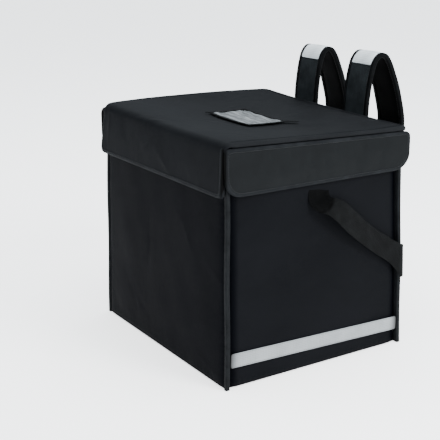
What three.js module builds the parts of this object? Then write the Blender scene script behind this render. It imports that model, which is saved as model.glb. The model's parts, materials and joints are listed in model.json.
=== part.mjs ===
// Insulated delivery backpack, standing on its base.
// It is a hollow box of padded fabric panels with bound corners. Its padded lid has a front flap and two side
// flaps. Two padded shoulder straps stand up behind the lid, and a carry strap hangs from both sides round the back.
// Millimetres, +Z up. X is the width, the front panel faces -Y, and the wearer's back is on the +Y side.
// The origin is the middle of the underside of the box.
import * as THREE from 'three';

// The box
const bagWidth = 430; // over the corner bindings
const bagDepth = 376; // front face to back face
const wallHeight = 410;
const panelThickness = 8;
const baseThickness = 8;
const rimRadius = 3; // rounding along a padded panel's edges
const panelCornerRadius = 4;
const seamGap = 0.3; // between pieces that touch

// Bound seams at the four upright corners
const bindingWidth = 8; // seen from the front
const bindingDepth = 8; // seen from the side
const bindingProud = 5; // how far it stands out beyond the side panel
const bindingRadius = 3;
const bindingEndRadius = 2; // rounding at its foot and its top

// The lid and its flaps
const lidThickness = 8;
const lidRimRadius = 4;
const lidCornerRadius = 9;
const flapThickness = 6;
const flapDrop = 77; // wall top to a flap's lower edge
const flapTopRadius = 2;
const flapRimRadius = 1.6;
const frontFlapRadius = 9; // lower corners
const sideFlapRadius = 28;
const sideFlapOverrun = 2; // past the back face
const tapeWidth = 8; // binding tape along a flap's free edges
const tapeProud = 0.8; // over the flap's face

// The clear card pocket on the lid
const cardWidth = 122;
const cardLength = 70;
const cardBorder = 8;
const cardSheetThickness = 0.6;
const cardBorderThickness = 1.6;
const cardOverlap = 4; // sheet held under the border
const cardCornerRadius = 2; // of the sheet and of the border's opening
const cardBorderRadius = 3;
const sheetRimRadius = 0.2;

// Reflective tape
const stripWidth = 26;
const stripThickness = 0.8;
const stripHeight = 33; // its lower edge at mid length
const stripTilt = 1.7; // degrees, higher at the front
const stripEndGap = 1.5;
const stripCornerRadius = 1;
const stripRimRadius = 0.25;

// Padded shoulder straps
const strapSpacing = 160; // between the two straps' middles
const strapWidth = 69;
const strapSwell = 9; // wider over its outer side
const strapThickness = 9;
const strapRise = 112; // arch above the wall tops, to the middle of the strap
const strapReach = 75.5; // arch away from the back panel, to the middle of the strap
const bandEdge = 4.5; // strap edge left bare beside the reflective band
const bandThickness = 0.6;

// Lower webbing, its adjuster and the tab that holds it
const webbingWidth = 25;
const webbingThickness = 1.6;
const anchorHeight = 35; // lower end of the webbing on the back panel
const anchorLength = 27; // sewn flat
const anchorTurn = 3; // flat stretch above the sewn end
const webbingStraight = 20; // straight out of the adjuster before it hangs
const tabLength = 12; // strap end to the adjuster's upper bar
const tabReturn = 8; // webbing folded back behind a bar
const barWidth = 4.5;
const barThickness = 3;
const adjusterSlot = 8;
const adjusterRail = 5.5; // beside the slots
const adjusterClearance = 1; // webbing edge to rail
const adjusterRadius = 3;
const slotRadius = 1;

// Carry strap
const carryWidth = 45;
const carryThickness = 2.5;
const carryStandOff = 23; // furthest that it curls away from the side panel
const carryCornerRadius = 8;

// Derived places
const sideFace = bagWidth / 2 - bindingProud;
const backFace = bagDepth / 2;
const flapInner = bagWidth / 2 + seamGap;
const flapOuter = flapInner + flapThickness;
const frontFlapInner = backFace + seamGap;
const frontFlapOuter = frontFlapInner + flapThickness;
const lidBottom = wallHeight + seamGap;
const lidTop = lidBottom + lidThickness;
const flapBottom = wallHeight - flapDrop;
const strapLine = backFace + seamGap + strapThickness / 2;

const fabric = new THREE.MeshStandardMaterial({ color: 0x1e1f22, roughness: 0.75, metalness: 0 });
const tape = new THREE.MeshStandardMaterial({ color: 0x26282b, roughness: 0.65, metalness: 0 });
const webbing = new THREE.MeshStandardMaterial({ color: 0x18191a, roughness: 0.8, metalness: 0 });
const reflective = new THREE.MeshStandardMaterial({ color: 0xc9cdd0, roughness: 0.45, metalness: 0.1 });
const clearSheet = new THREE.MeshStandardMaterial({ color: 0xb4b9bb, roughness: 0.2, metalness: 0 });
const blackPlastic = new THREE.MeshStandardMaterial({ color: 0x101011, roughness: 0.45, metalness: 0 });

// A closed solid from triangles, turned to face out.
function closedSolid(corners, triangles) {
  const a = new THREE.Vector3();
  const b = new THREE.Vector3();
  let volume = 0;
  for (const [i, j, k] of triangles) {
    volume += corners[i].dot(a.copy(corners[j]).cross(b.copy(corners[k])));
  }
  const faces = volume < 0 ? triangles.map(([i, j, k]) => [i, k, j]) : triangles;
  const geometry = new THREE.BufferGeometry();
  geometry.setAttribute('position', new THREE.Float32BufferAttribute(corners.flatMap((p) => p.toArray()), 3));
  geometry.setIndex(faces.flat());
  geometry.computeVertexNormals();
  return geometry;
}

// Joins rings of equally many points into a solid, with a flat cap on the first and the last.
function loft(rings) {
  const count = rings[0].length;
  const triangles = [];
  for (let ring = 0; ring + 1 < rings.length; ring++) {
    for (let i = 0; i < count; i++) {
      const next = (i + 1) % count;
      const [a, b] = [ring * count + i, ring * count + next];
      triangles.push([a, b, b + count], [a, b + count, a + count]);
    }
  }
  const last = (rings.length - 1) * count;
  for (let i = 1; i + 1 < count; i++) {
    triangles.push([0, i + 1, i], [last, last + i, last + i + 1]);
  }
  return closedSolid(rings.flat(), triangles);
}

// Outline of a rectangle about the origin, shrunk by inset. Its lower corners may be rounder than its upper ones.
function panelOutline(width, height, lowRadius, topRadius, inset) {
  const right = width / 2 - inset;
  const top = height / 2 - inset;
  const sharpest = 0.4;
  const low = Math.max(lowRadius - inset, sharpest);
  const high = Math.max(topRadius - inset, sharpest);
  const arcSteps = 4;
  const points = [];
  const corners = [
    { u: right - high, v: top - high, radius: high, from: 0 },
    { u: -right + high, v: top - high, radius: high, from: 90 },
    { u: -right + low, v: -top + low, radius: low, from: 180 },
    { u: right - low, v: -top + low, radius: low, from: 270 },
  ];
  for (const { u, v, radius, from } of corners) {
    for (let step = 0; step <= arcSteps; step++) {
      const angle = THREE.MathUtils.degToRad(from + (90 * step) / arcSteps);
      points.push(new THREE.Vector2(u + radius * Math.cos(angle), v + radius * Math.sin(angle)));
    }
  }
  return points;
}

// A padded panel lying in XY with its outer face up and its rims rounded.
function paddedPanel({ width, height, thickness, rim, lowRadius, topRadius }) {
  const sections = [
    { inset: rim, level: 0 },
    { inset: 0.3 * rim, level: 0.3 * rim },
    { inset: 0, level: rim },
    { inset: 0, level: thickness - rim },
    { inset: 0.3 * rim, level: thickness - 0.3 * rim },
    { inset: rim, level: thickness },
  ].filter((row, i, rows) => i === 0 || row.level - rows[i - 1].level > 0.01);
  return loft(sections.map(({ inset, level }) =>
    panelOutline(width, height, lowRadius, topRadius, inset).map((p) => new THREE.Vector3(p.x, p.y, level))));
}

// Section of a flat strip, across its width and through its thickness.
function stripSection(width, thickness) {
  const chamfer = thickness / 3;
  const [w, t] = [width / 2, thickness / 2];
  return [
    [-w, -t + chamfer], [-w + chamfer, -t], [w - chamfer, -t], [w, -t + chamfer],
    [w, t - chamfer], [w - chamfer, t], [-w + chamfer, t], [-w, t - chamfer],
  ];
}

// Half the face of a padded strap, as shares of its width and thickness.
const paddedEdge = [
  { across: 0.3, through: 0.5 },
  { across: 0.45, through: 0.36 },
  { across: 0.5, through: 0.22 },
];

// Section of a padded strap: full in the middle, thinner at its bound edges.
function paddedSection(width, thickness) {
  const edge = paddedEdge.map((row) => [row.across * width, row.through * thickness]);
  const quarter = (a, t) => edge.map(([across, through]) => [a * across, t * through]);
  return [...quarter(-1, -1).reverse(), ...quarter(1, -1), ...quarter(1, 1).reverse(), ...quarter(-1, 1)];
}

// Section of a band laid over the outer face of a padded strap, bent down at its edges as the strap is.
function bandSection(width, padWidth, padThickness, thickness) {
  const [flat, slope] = paddedEdge;
  const share = (0.5 * width / padWidth - flat.across) / (slope.across - flat.across);
  const drop = share * (flat.through - slope.through) * padThickness;
  const line = [[-width / 2, drop], [-flat.across * padWidth, 0], [flat.across * padWidth, 0], [width / 2, drop]];
  const level = -padThickness / 2 - seamGap;
  const under = line.map(([a, t]) => [a, level + t - thickness]);
  const over = line.map(([a, t]) => [a, level + t]).reverse();
  return [...under, ...over];
}

// A section set at a station, by the station's middle, its across and its through direction.
function placedSection({ at, across, through }, section) {
  return section.map(([a, t]) => at.clone().addScaledVector(across, a).addScaledVector(through, t));
}

function sweep(stations, section) {
  return loft(stations.map((station) => placedSection(station, section)));
}

// Stations along a line of points that lies in one plane. Sections are mitred, with their across direction square
// to the plane, or in the plane if flat is true.
function planarStations(points, normal, flat = false) {
  return points.map((at, i) => {
    const before = at.clone().sub(points[Math.max(i - 1, 0)]).normalize();
    const after = points[Math.min(i + 1, points.length - 1)].clone().sub(at).normalize();
    const tangent = before.clone().add(after).normalize();
    const side = tangent.clone().cross(normal).normalize();
    const outOfLine = before.lengthSq() * after.lengthSq() > 0 ? Math.sqrt((1 + before.dot(after)) / 2) : 1;
    side.divideScalar(outOfLine);
    return flat ? { at, across: side, through: normal.clone() } : { at, across: normal.clone(), through: side };
  });
}

function piece(name, geometry, material) {
  const mesh = new THREE.Mesh(geometry, material);
  mesh.name = name;
  return mesh;
}

// A group whose children lie in XY facing up, turned upright to face outwards at a compass angle.
// Facing 0 looks to -Y, 90 to +X, 180 to +Y and 270 to -X.
function upright(facing, distance, height, ...children) {
  const standing = new THREE.Group();
  standing.rotation.x = Math.PI / 2;
  standing.add(...children);
  const turned = new THREE.Group();
  turned.rotation.z = THREE.MathUtils.degToRad(facing);
  standing.position.set(0, -distance, height);
  turned.add(standing);
  return turned;
}

function buildWalls() {
  const walls = new THREE.Group();
  const panel = (width) => paddedPanel({
    width, height: wallHeight, thickness: panelThickness, rim: rimRadius,
    lowRadius: panelCornerRadius, topRadius: panelCornerRadius,
  });
  const frontWidth = bagWidth - 2 * (bindingWidth + seamGap);
  const sideWidth = bagDepth - 2 * (bindingDepth + seamGap);
  const middle = wallHeight / 2;
  walls.add(
    upright(0, bagDepth / 2 - panelThickness, middle, piece('front_panel', panel(frontWidth), fabric)),
    upright(180, bagDepth / 2 - panelThickness, middle, piece('back_panel', panel(frontWidth), fabric)),
    upright(90, sideFace - panelThickness, middle, piece('side_panel_right', panel(sideWidth), fabric)),
    upright(270, sideFace - panelThickness, middle, piece('side_panel_left', panel(sideWidth), fabric)),
  );
  const base = piece('base_panel', paddedPanel({
    width: 2 * (sideFace - panelThickness - seamGap),
    height: bagDepth - 2 * (panelThickness + seamGap),
    thickness: baseThickness,
    rim: rimRadius,
    lowRadius: panelCornerRadius,
    topRadius: panelCornerRadius,
  }), fabric);
  walls.add(base);
  return walls;
}

function buildCornerBindings() {
  const bindings = new THREE.Group();
  for (const [side, sideSign] of [['right', 1], ['left', -1]]) {
    for (const [end, endSign] of [['front', -1], ['back', 1]]) {
      const post = piece(`corner_binding_${end}_${side}`, paddedPanel({
        width: bindingWidth, height: bindingDepth, thickness: wallHeight, rim: bindingEndRadius,
        lowRadius: bindingRadius, topRadius: bindingRadius,
      }), tape);
      post.position.set(
        sideSign * (bagWidth / 2 - bindingWidth / 2),
        endSign * (bagDepth / 2 - bindingDepth / 2),
        0,
      );
      bindings.add(post);
    }
  }
  return bindings;
}

function buildLidPanel() {
  const front = frontFlapOuter;
  const back = backFace;
  const lid = piece('lid_panel', paddedPanel({
    width: 2 * flapOuter, height: front + back, thickness: lidThickness, rim: lidRimRadius,
    lowRadius: lidCornerRadius, topRadius: lidCornerRadius,
  }), fabric);
  lid.position.set(0, (back - front) / 2, lidBottom);
  return lid;
}

// The line of a flap's binding tape: down one edge, round the lower corners and up the other, in XY.
function tapeLine(width, height, radius) {
  const inset = tapeWidth / 2;
  const [right, top, turn] = [width / 2 - inset, height / 2, radius - inset];
  const cornerSteps = 5;
  const points = [new THREE.Vector3(-right, top, 0)];
  for (const [u, from] of [[-right + turn, 180], [right - turn, 270]]) {
    for (let step = 0; step <= cornerSteps; step++) {
      const angle = THREE.MathUtils.degToRad(from + (90 * step) / cornerSteps);
      points.push(new THREE.Vector3(u + turn * Math.cos(angle), inset - top + turn + turn * Math.sin(angle), 0));
    }
  }
  points.push(new THREE.Vector3(right, top, 0));
  return points;
}

// One flap: its pad and the tape round its free edges, both lying in XY with the outer face up.
function flapPieces(name, width, radius) {
  const margin = tapeWidth + seamGap;
  const pad = piece(name, paddedPanel({
    width: width - 2 * margin, height: flapDrop - margin, thickness: flapThickness, rim: flapRimRadius,
    lowRadius: Math.max(radius - margin, 1), topRadius: flapTopRadius,
  }), fabric);
  pad.position.y = margin / 2;
  const thickness = flapThickness + tapeProud;
  const line = tapeLine(width, flapDrop, radius).map((p) => p.setZ(thickness / 2));
  const edge = piece(`${name}_tape`,
    sweep(planarStations(line, new THREE.Vector3(0, 0, 1), true), stripSection(tapeWidth, thickness)), tape);
  return [pad, edge];
}

function buildFlaps() {
  const flaps = new THREE.Group();
  const middle = (wallHeight + flapBottom) / 2;
  flaps.add(upright(0, frontFlapInner, middle, ...flapPieces('lid_flap_front', bagWidth, frontFlapRadius)));
  const sideLength = frontFlapOuter + backFace + sideFlapOverrun;
  const shift = (backFace + sideFlapOverrun - frontFlapOuter) / 2;
  for (const [name, facing] of [['lid_flap_right', 90], ['lid_flap_left', 270]]) {
    const flap = upright(facing, flapInner, middle, ...flapPieces(name, sideLength, sideFlapRadius));
    flap.position.y = shift;
    flaps.add(flap);
  }
  return flaps;
}

// The card pocket: a clear sheet under a black border, on the lid's flat middle.
function buildCardPocket() {
  const pocket = new THREE.Group();
  const sheet = piece('card_window', paddedPanel({
    width: cardWidth + 2 * cardOverlap, height: cardLength + 2 * cardOverlap, thickness: cardSheetThickness,
    rim: sheetRimRadius, lowRadius: cardCornerRadius, topRadius: cardCornerRadius,
  }), clearSheet);
  const [outerWidth, outerLength] = [cardWidth + 2 * cardBorder, cardLength + 2 * cardBorder];
  const outline = new THREE.Shape(panelOutline(outerWidth, outerLength, cardBorderRadius, cardBorderRadius, 0));
  const opening = panelOutline(cardWidth, cardLength, cardCornerRadius, cardCornerRadius, 0);
  outline.holes.push(new THREE.Path(opening.reverse()));
  const border = piece('card_border', new THREE.ExtrudeGeometry(outline, {
    depth: cardBorderThickness, bevelEnabled: false,
  }), tape);
  border.position.z = cardSheetThickness + seamGap;
  pocket.add(sheet, border);
  pocket.position.set(0, (backFace - frontFlapOuter) / 2, lidTop + seamGap);
  return pocket;
}

function buildSideStrips() {
  const strips = new THREE.Group();
  const length = bagDepth - 2 * (bindingDepth + stripEndGap);
  for (const [name, facing, tilt] of [['side_strip_right', 90, -stripTilt], ['side_strip_left', 270, stripTilt]]) {
    const strip = piece(name, paddedPanel({
      width: length, height: stripWidth, thickness: stripThickness, rim: stripRimRadius,
      lowRadius: stripCornerRadius, topRadius: stripCornerRadius,
    }), reflective);
    strip.rotation.z = THREE.MathUtils.degToRad(tilt);
    strips.add(upright(facing, sideFace + seamGap, stripHeight + stripWidth / 2, strip));
  }
  return strips;
}

// Middle line of a shoulder strap in the plane x = 0. Reach is a share of strapReach out from the back panel.
// The sewn and hanging stretches have heights as shares of the wall, and the arch's are shares of strapRise over it.
const sewnStretch = [
  { reach: 0, height: 0.74 },
  { reach: 0, height: 0.86 },
  { reach: 0, height: 0.96 },
];
const archStretch = [
  { reach: 0.008, rise: 0.235 },
  { reach: 0.045, rise: 0.52 },
  { reach: 0.1, rise: 0.755 },
  { reach: 0.175, rise: 0.915 },
  { reach: 0.3, rise: 1 },
  { reach: 0.45, rise: 0.985 },
  { reach: 0.59, rise: 0.865 },
  { reach: 0.7, rise: 0.69 },
  { reach: 0.81, rise: 0.475 },
  { reach: 0.905, rise: 0.21 },
];
const hangingStretch = [
  { reach: 0.987, height: 0.988 },
  { reach: 1, height: 0.939 },
  { reach: 0.96, height: 0.866 },
  { reach: 0.868, height: 0.793 },
  { reach: 0.748, height: 0.732 },
  { reach: 0.629, height: 0.671 },
  { reach: 0.497, height: 0.598 },
];

// Where the strap widens, along its length, and by what share of strapSwell.
const swellRows = [
  { along: 0.47, share: 0 },
  { along: 0.55, share: 0.8 },
  { along: 0.64, share: 1 },
  { along: 0.84, share: 0.7 },
  { along: 1, share: 0 },
];

function widthAt(along) {
  const next = swellRows.findIndex((row) => row.along >= along);
  if (next <= 0) return strapWidth;
  const [from, to] = [swellRows[next - 1], swellRows[next]];
  const part = (along - from.along) / (to.along - from.along);
  return strapWidth + strapSwell * (from.share + part * (to.share - from.share));
}

function strapCurve() {
  const at = (reach, z) => new THREE.Vector3(0, strapLine + reach * strapReach, z);
  return new THREE.CatmullRomCurve3([
    ...sewnStretch.map((row) => at(row.reach, row.height * wallHeight)),
    ...archStretch.map((row) => at(row.reach, wallHeight + row.rise * strapRise)),
    ...hangingStretch.map((row) => at(row.reach, row.height * wallHeight)),
  ], false, 'centripetal');
}

// Where the reflective band lies along the strap, as shares of the strap's length.
const bandStretch = { from: 0.375, to: 0.479 };

// Where the lower webbing hangs between the adjuster and its sewn end, as shares of the way out and up from there.
const webbingSag = { out: 0.17, up: 0.13 };

// Points of a curve between two shares of its length.
function stretchOf(curve, from, to, steps) {
  return Array.from({ length: steps + 1 }, (_, i) => curve.getPointAt(from + ((to - from) * i) / steps));
}

const acrossX = new THREE.Vector3(1, 0, 0);

// Where the strap ends, and the directions that its adjuster is set by.
function strapEnd() {
  const curve = strapCurve();
  const at = curve.getPointAt(1);
  const along = curve.getTangentAt(1);
  return { at, along, out: acrossX.clone().cross(along).normalize() };
}

// Half a turn of webbing round a bar, from its outer side to its inner side. Heading points from strap to bar.
function roundBar(centre, heading, out, radius) {
  const steps = 6;
  return Array.from({ length: steps + 1 }, (_, i) => {
    const angle = (Math.PI * i) / steps;
    return centre.clone()
      .addScaledVector(out, radius * Math.cos(angle))
      .addScaledVector(heading, radius * Math.sin(angle));
  });
}

const wrapRadius = Math.hypot(barWidth, barThickness) / 2 + seamGap + webbingThickness / 2;
const adjusterLength = 3 * barWidth + 2 * adjusterSlot;

function upperBar({ at, along }) {
  return at.clone().addScaledVector(along, tabLength + barWidth / 2);
}

function lowerBar(end) {
  return upperBar(end).addScaledVector(end.along, adjusterLength - barWidth);
}

// The short tab from the padded strap round the adjuster's upper bar.
function tabGeometry() {
  const end = strapEnd();
  const bar = upperBar(end);
  const start = end.at.clone().addScaledVector(end.along, seamGap).addScaledVector(end.out, wrapRadius);
  const turn = roundBar(bar, end.along, end.out, wrapRadius);
  const back = turn[turn.length - 1].clone().addScaledVector(end.along, -tabReturn);
  return sweep(planarStations([start, ...turn, back], acrossX), stripSection(webbingWidth, webbingThickness));
}

// The lower webbing: folded behind the adjuster's lower bar, round it, and down to its sewn end.
function lowerWebbingGeometry() {
  const end = strapEnd();
  const bar = lowerBar(end);
  const turn = roundBar(bar, end.along.clone().negate(), end.out, wrapRadius);
  const folded = turn[0].clone().addScaledVector(end.along, tabReturn);
  const leaving = turn[turn.length - 1];
  const line = backFace + seamGap + webbingThickness / 2;
  const top = anchorHeight + anchorLength;
  const hang = new THREE.CatmullRomCurve3([
    leaving,
    leaving.clone().addScaledVector(end.along, webbingStraight),
    new THREE.Vector3(0, line + webbingSag.out * (leaving.y - line), top + webbingSag.up * (leaving.z - top)),
    new THREE.Vector3(0, line, top - anchorTurn),
    new THREE.Vector3(0, line, anchorHeight),
  ], false, 'centripetal');
  const [start, steps] = [0.04, 16];
  const points = [folded, ...turn, ...stretchOf(hang, start, 1, steps)];
  return sweep(planarStations(points, acrossX), stripSection(webbingWidth, webbingThickness));
}

// A three-bar slide with two slots, lying in XY about its middle.
function adjusterGeometry() {
  const slotWidth = webbingWidth + 2 * adjusterClearance;
  const frame = new THREE.Shape(
    panelOutline(slotWidth + 2 * adjusterRail, adjusterLength, adjusterRadius, adjusterRadius, 0));
  for (const sign of [-1, 1]) {
    const middle = (sign * (barWidth + adjusterSlot)) / 2;
    const slot = panelOutline(slotWidth, adjusterSlot, slotRadius, slotRadius, 0)
      .map((p) => new THREE.Vector2(p.x, p.y + middle));
    frame.holes.push(new THREE.Path(slot.reverse()));
  }
  const geometry = new THREE.ExtrudeGeometry(frame, { depth: barThickness, bevelEnabled: false });
  return geometry.translate(0, 0, -barThickness / 2);
}

function adjuster(name) {
  const end = strapEnd();
  const frame = piece(name, adjusterGeometry(), blackPlastic);
  frame.position.copy(upperBar(end).add(lowerBar(end)).multiplyScalar(0.5));
  frame.rotation.x = Math.atan2(end.along.z, end.along.y);
  return frame;
}

function buildShoulderStraps() {
  const straps = new THREE.Group();
  const steps = 48;
  const stations = planarStations(stretchOf(strapCurve(), 0, 1, steps), acrossX);
  const bandStations = stations.slice(Math.round(bandStretch.from * steps), Math.round(bandStretch.to * steps) + 1);
  const pad = stations.map((station, i) => placedSection(station, paddedSection(widthAt(i / steps), strapThickness)));
  const band = bandSection(strapWidth - 2 * bandEdge, strapWidth, strapThickness, bandThickness);
  for (const [side, sign] of [['right', 1], ['left', -1]]) {
    const set = new THREE.Group();
    set.add(
      piece(`shoulder_strap_${side}`, loft(pad), webbing),
      piece(`strap_band_${side}`, sweep(bandStations, band), reflective),
      piece(`strap_tab_${side}`, tabGeometry(), webbing),
      adjuster(`strap_adjuster_${side}`),
      piece(`strap_webbing_${side}`, lowerWebbingGeometry(), webbing),
    );
    set.position.x = (sign * strapSpacing) / 2;
    straps.add(set);
  }
  return straps;
}

// The carry strap's middle, from its sewn end under the right flap to the middle of the back. It turns upright
// before the back corner, so that it folds round it.
// Along runs from the middle of the side panel: 0 to 1 is on to the back corner, 1 to 2 on to the back's middle.
// Up is a share of the wall's height. Lean is the angle in degrees between a row's edge to edge line and the
// level, and widen is that line's length as a share of the strap's width. Off, at the lower and at the higher
// edge, is a share of carryStandOff away from lying flat on the panel.
const carryRows = [
  { along: -0.003, up: 0.86, lean: 0, widen: 1, lowOff: 0, highOff: 0 },
  { along: -0.003, up: 0.79, lean: 0, widen: 1, lowOff: 0, highOff: 0 },
  { along: -0.003, up: 0.744, lean: 15, widen: 1, lowOff: 0.24, highOff: 0.11 },
  { along: 0.026, up: 0.719, lean: 30, widen: 0.93, lowOff: 0.66, highOff: 0.32 },
  { along: 0.083, up: 0.706, lean: 42, widen: 0.93, lowOff: 0.94, highOff: 0.54 },
  { along: 0.18, up: 0.678, lean: 49, widen: 0.96, lowOff: 1, highOff: 0.68 },
  { along: 0.323, up: 0.628, lean: 64, widen: 0.92, lowOff: 0.86, highOff: 0.66 },
  { along: 0.473, up: 0.572, lean: 84, widen: 1.02, lowOff: 0.66, highOff: 0.6 },
  { along: 0.622, up: 0.52, lean: 90, widen: 1.04, lowOff: 0.52, highOff: 0.5 },
  { along: 0.83, up: 0.456, lean: 90, widen: 1.08, lowOff: 0.36, highOff: 0.36 },
  { along: 1, up: 0.4, lean: 90, widen: 1.14, lowOff: 0.3, highOff: 0.3 },
  { along: 1.171, up: 0.347, lean: 90, widen: 1.12, lowOff: 0.14, highOff: 0.14 },
  { along: 1.41, up: 0.288, lean: 90, widen: 1.08, lowOff: 0.02, highOff: 0.02 },
  { along: 1.648, up: 0.244, lean: 90, widen: 1.04, lowOff: 0, highOff: 0 },
  { along: 1.886, up: 0.222, lean: 90, widen: 1, lowOff: 0, highOff: 0 },
  { along: 2, up: 0.217, lean: 90, widen: 1, lowOff: 0, highOff: 0 },
];

// One edge of the carry strap, as distance round the bag, height and share of stand-off. Side is -1 or 1.
function carryEdge(side, off) {
  return new THREE.CatmullRomCurve3(carryRows.map((row) => {
    const lean = THREE.MathUtils.degToRad(row.lean);
    const half = side * row.widen * (carryWidth / 2);
    const distance = row.along <= 1 ? row.along * backFace : backFace + (row.along - 1) * sideFace;
    const [u, z] = [distance + half * Math.cos(lean), row.up * wallHeight + half * Math.sin(lean)];
    return new THREE.Vector3(u, z, row[off]);
  }), false, 'centripetal');
}

// A point round the bag: along the right side panel, round the back corner and along the back, off from the face.
function roundTheBag(distance, z, off) {
  const stand = seamGap + carryThickness / 2 + Math.max(off, 0) * carryStandOff;
  const turn = carryCornerRadius;
  const turnStart = backFace - turn;
  const turned = THREE.MathUtils.clamp((distance - turnStart) / (2 * turn), 0, 1) * (Math.PI / 2);
  const x = sideFace - turn + (turn + stand) * Math.cos(turned) - Math.max(distance - backFace - turn, 0);
  const y = turnStart + (turn + stand) * Math.sin(turned) + Math.min(distance - turnStart, 0);
  return new THREE.Vector3(x, y, z);
}

function buildCarryStrap() {
  const low = carryEdge(-1, 'lowOff');
  const high = carryEdge(1, 'highOff');
  const steps = 4 * (carryRows.length - 1);
  const half = Array.from({ length: steps + 1 }, (_, i) => {
    const [a, b] = [low, high].map((line) => roundTheBag(...line.getPoint(i / steps).toArray()));
    return { at: a.clone().add(b).multiplyScalar(0.5), across: b.clone().sub(a).normalize(), width: a.distanceTo(b) };
  });
  const mirrored = half.slice(0, -1).reverse().map(({ at, across, width }) => ({
    at: at.clone().setX(-at.x),
    across: across.clone().setX(-across.x),
    width,
  }));
  const stations = [...half, ...mirrored].map((station, i, all) => {
    const tangent = all[Math.min(i + 1, all.length - 1)].at.clone().sub(all[Math.max(i - 1, 0)].at);
    return { ...station, through: tangent.cross(station.across).normalize() };
  });
  const rings = stations.map((station) => placedSection(station, stripSection(station.width, carryThickness)));
  return piece('carry_strap', loft(rings), webbing);
}

const backpack = new THREE.Group();
backpack.add(
  buildWalls(),
  buildCornerBindings(),
  buildLidPanel(),
  buildFlaps(),
  buildCardPocket(),
  buildSideStrips(),
  buildShoulderStraps(),
  buildCarryStrap(),
);

export default backpack;
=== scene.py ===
"""Insulated delivery backpack: padded cloth, bindings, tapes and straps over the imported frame.

Metres, +Z up. The front panel faces -Y, and the side worn against the back faces +Y.
"""

import json
import math

import bpy
import numpy as np
from mathutils import Matrix, Vector

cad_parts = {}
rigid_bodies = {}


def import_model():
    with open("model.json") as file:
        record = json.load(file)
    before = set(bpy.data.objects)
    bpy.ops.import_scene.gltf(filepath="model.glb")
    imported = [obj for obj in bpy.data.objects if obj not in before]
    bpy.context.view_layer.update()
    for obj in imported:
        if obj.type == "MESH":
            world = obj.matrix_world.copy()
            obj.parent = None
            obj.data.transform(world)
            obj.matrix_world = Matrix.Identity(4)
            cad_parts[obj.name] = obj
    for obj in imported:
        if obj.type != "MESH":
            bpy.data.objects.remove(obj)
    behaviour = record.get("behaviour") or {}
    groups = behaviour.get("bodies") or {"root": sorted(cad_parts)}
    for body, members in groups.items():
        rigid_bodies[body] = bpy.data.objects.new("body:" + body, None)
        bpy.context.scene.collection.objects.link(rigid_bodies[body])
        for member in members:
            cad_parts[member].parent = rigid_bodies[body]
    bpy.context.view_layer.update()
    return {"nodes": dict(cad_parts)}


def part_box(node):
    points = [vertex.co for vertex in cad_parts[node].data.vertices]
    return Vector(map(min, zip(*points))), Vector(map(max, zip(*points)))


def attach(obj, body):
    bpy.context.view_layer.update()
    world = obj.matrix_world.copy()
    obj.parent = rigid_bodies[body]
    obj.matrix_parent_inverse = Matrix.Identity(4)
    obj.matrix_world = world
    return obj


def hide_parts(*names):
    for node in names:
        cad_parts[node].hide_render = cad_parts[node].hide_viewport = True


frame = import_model()
MM = 0.001

# The frame's main places
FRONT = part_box("front_panel")
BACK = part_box("back_panel")
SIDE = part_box("side_panel_right")
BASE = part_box("base_panel")
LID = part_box("lid_panel")
FRONT_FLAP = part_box("lid_flap_front_tape")
SIDE_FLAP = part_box("lid_flap_right_tape")
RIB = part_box("corner_binding_front_right")
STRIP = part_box("side_strip_right")
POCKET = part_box("card_border")

front_face = FRONT[0].y
back_face = BACK[1].y
side_face = SIDE[1].x
wall_top = FRONT[1].z
wall_width = FRONT[1].x - FRONT[0].x
wall_depth = SIDE[1].y - SIDE[0].y
wall_thickness = SIDE[1].x - SIDE[0].x
lid_top = LID[1].z
flap_low = SIDE_FLAP[0].z

# Camera, from the photograph's perspective
CAMERA_AZIMUTH = 57.65
CAMERA_HEIGHT = 16.32
CAMERA_DISTANCE = 1.888
CAMERA_TARGET = Vector((-0.0289, -0.0457, 0.2157))
CAMERA_LENS = 81.41
CAMERA_ROLL = -0.35

# Cloth: the cells of its grid, and how hard and how long the padding swells it in the cloth simulation
CELL = 10 * MM
PRESSURE = 3.0
SWELL_STEPS = 14
# Seams: distance in from the edge, depth of the channel that they pull, and the puckers beside it
SEAM = 6 * MM
SEAM_DEPTH = 0.7 * MM
PUCKER_HEIGHT = 0.22 * MM
PUCKER_PITCH = 11 * MM
STITCH_LENGTH = 2.8 * MM
STITCH_PITCH = 4 * MM
STITCH_WIDTH = 0.55 * MM

# Walls: how far they run in under the ribs, and how far their corners are drawn out, so that softening leaves
# them nearly square
WALL_LAP = 3.5 * MM
CORNER_REACH = 2.5 * MM
# How each wall is padded: its swell, how far it is pulled in beside the ribs, how far the painted shade in the
# groove there reaches, and the painted shade all over its cloth. The back lies nearly flat and a little in,
# under the straps
FRONT_PADDING = (4 * MM, 2 * MM, 14 * MM, 0.72)
BACK_PADDING = (0.8 * MM, 2 * MM, 14 * MM, 0.2)
SIDE_PADDING = (3 * MM, 5 * MM, 22 * MM, 0.0)
BACK_INSET = 1.5 * MM
# How far the painted shade of the groove fades out
PAINTED_GROOVE_FADE = 10 * MM

# Ribs: the cells along them, a cut near the foot that keeps it square, how they sway, and how the stitches
# pinch them
RIB_CELL = 8 * MM
RIB_FOOT = 1.2 * MM
RIB_SWAY = 0.5 * MM
RIB_WAVE = 33 * MM
RIB_PINCH = 0.03

# Flap tapes: their width, the spacing of the places along them, how far their seam lies from their inner edge,
# and how far the painted shade of the slits between the flaps reaches
TAPE_WIDTH = 8 * MM
TAPE_SPACING = 2.5 * MM
TAPE_SEAM = 1.6 * MM
SLIT_PAINTED_SHADE_FADE = 5 * MM

# Finishes: pitch of the weave, of the tapes' and the webbing's ribs, and of the press in the reflective tapes
WEAVE = 0.7 * MM
TAPE_RIBS = 0.9 * MM
WEBBING_RIBS = 1.7 * MM
WEBBING_ROWS = 2.5 * MM
PRESS = 4.6 * MM
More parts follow.
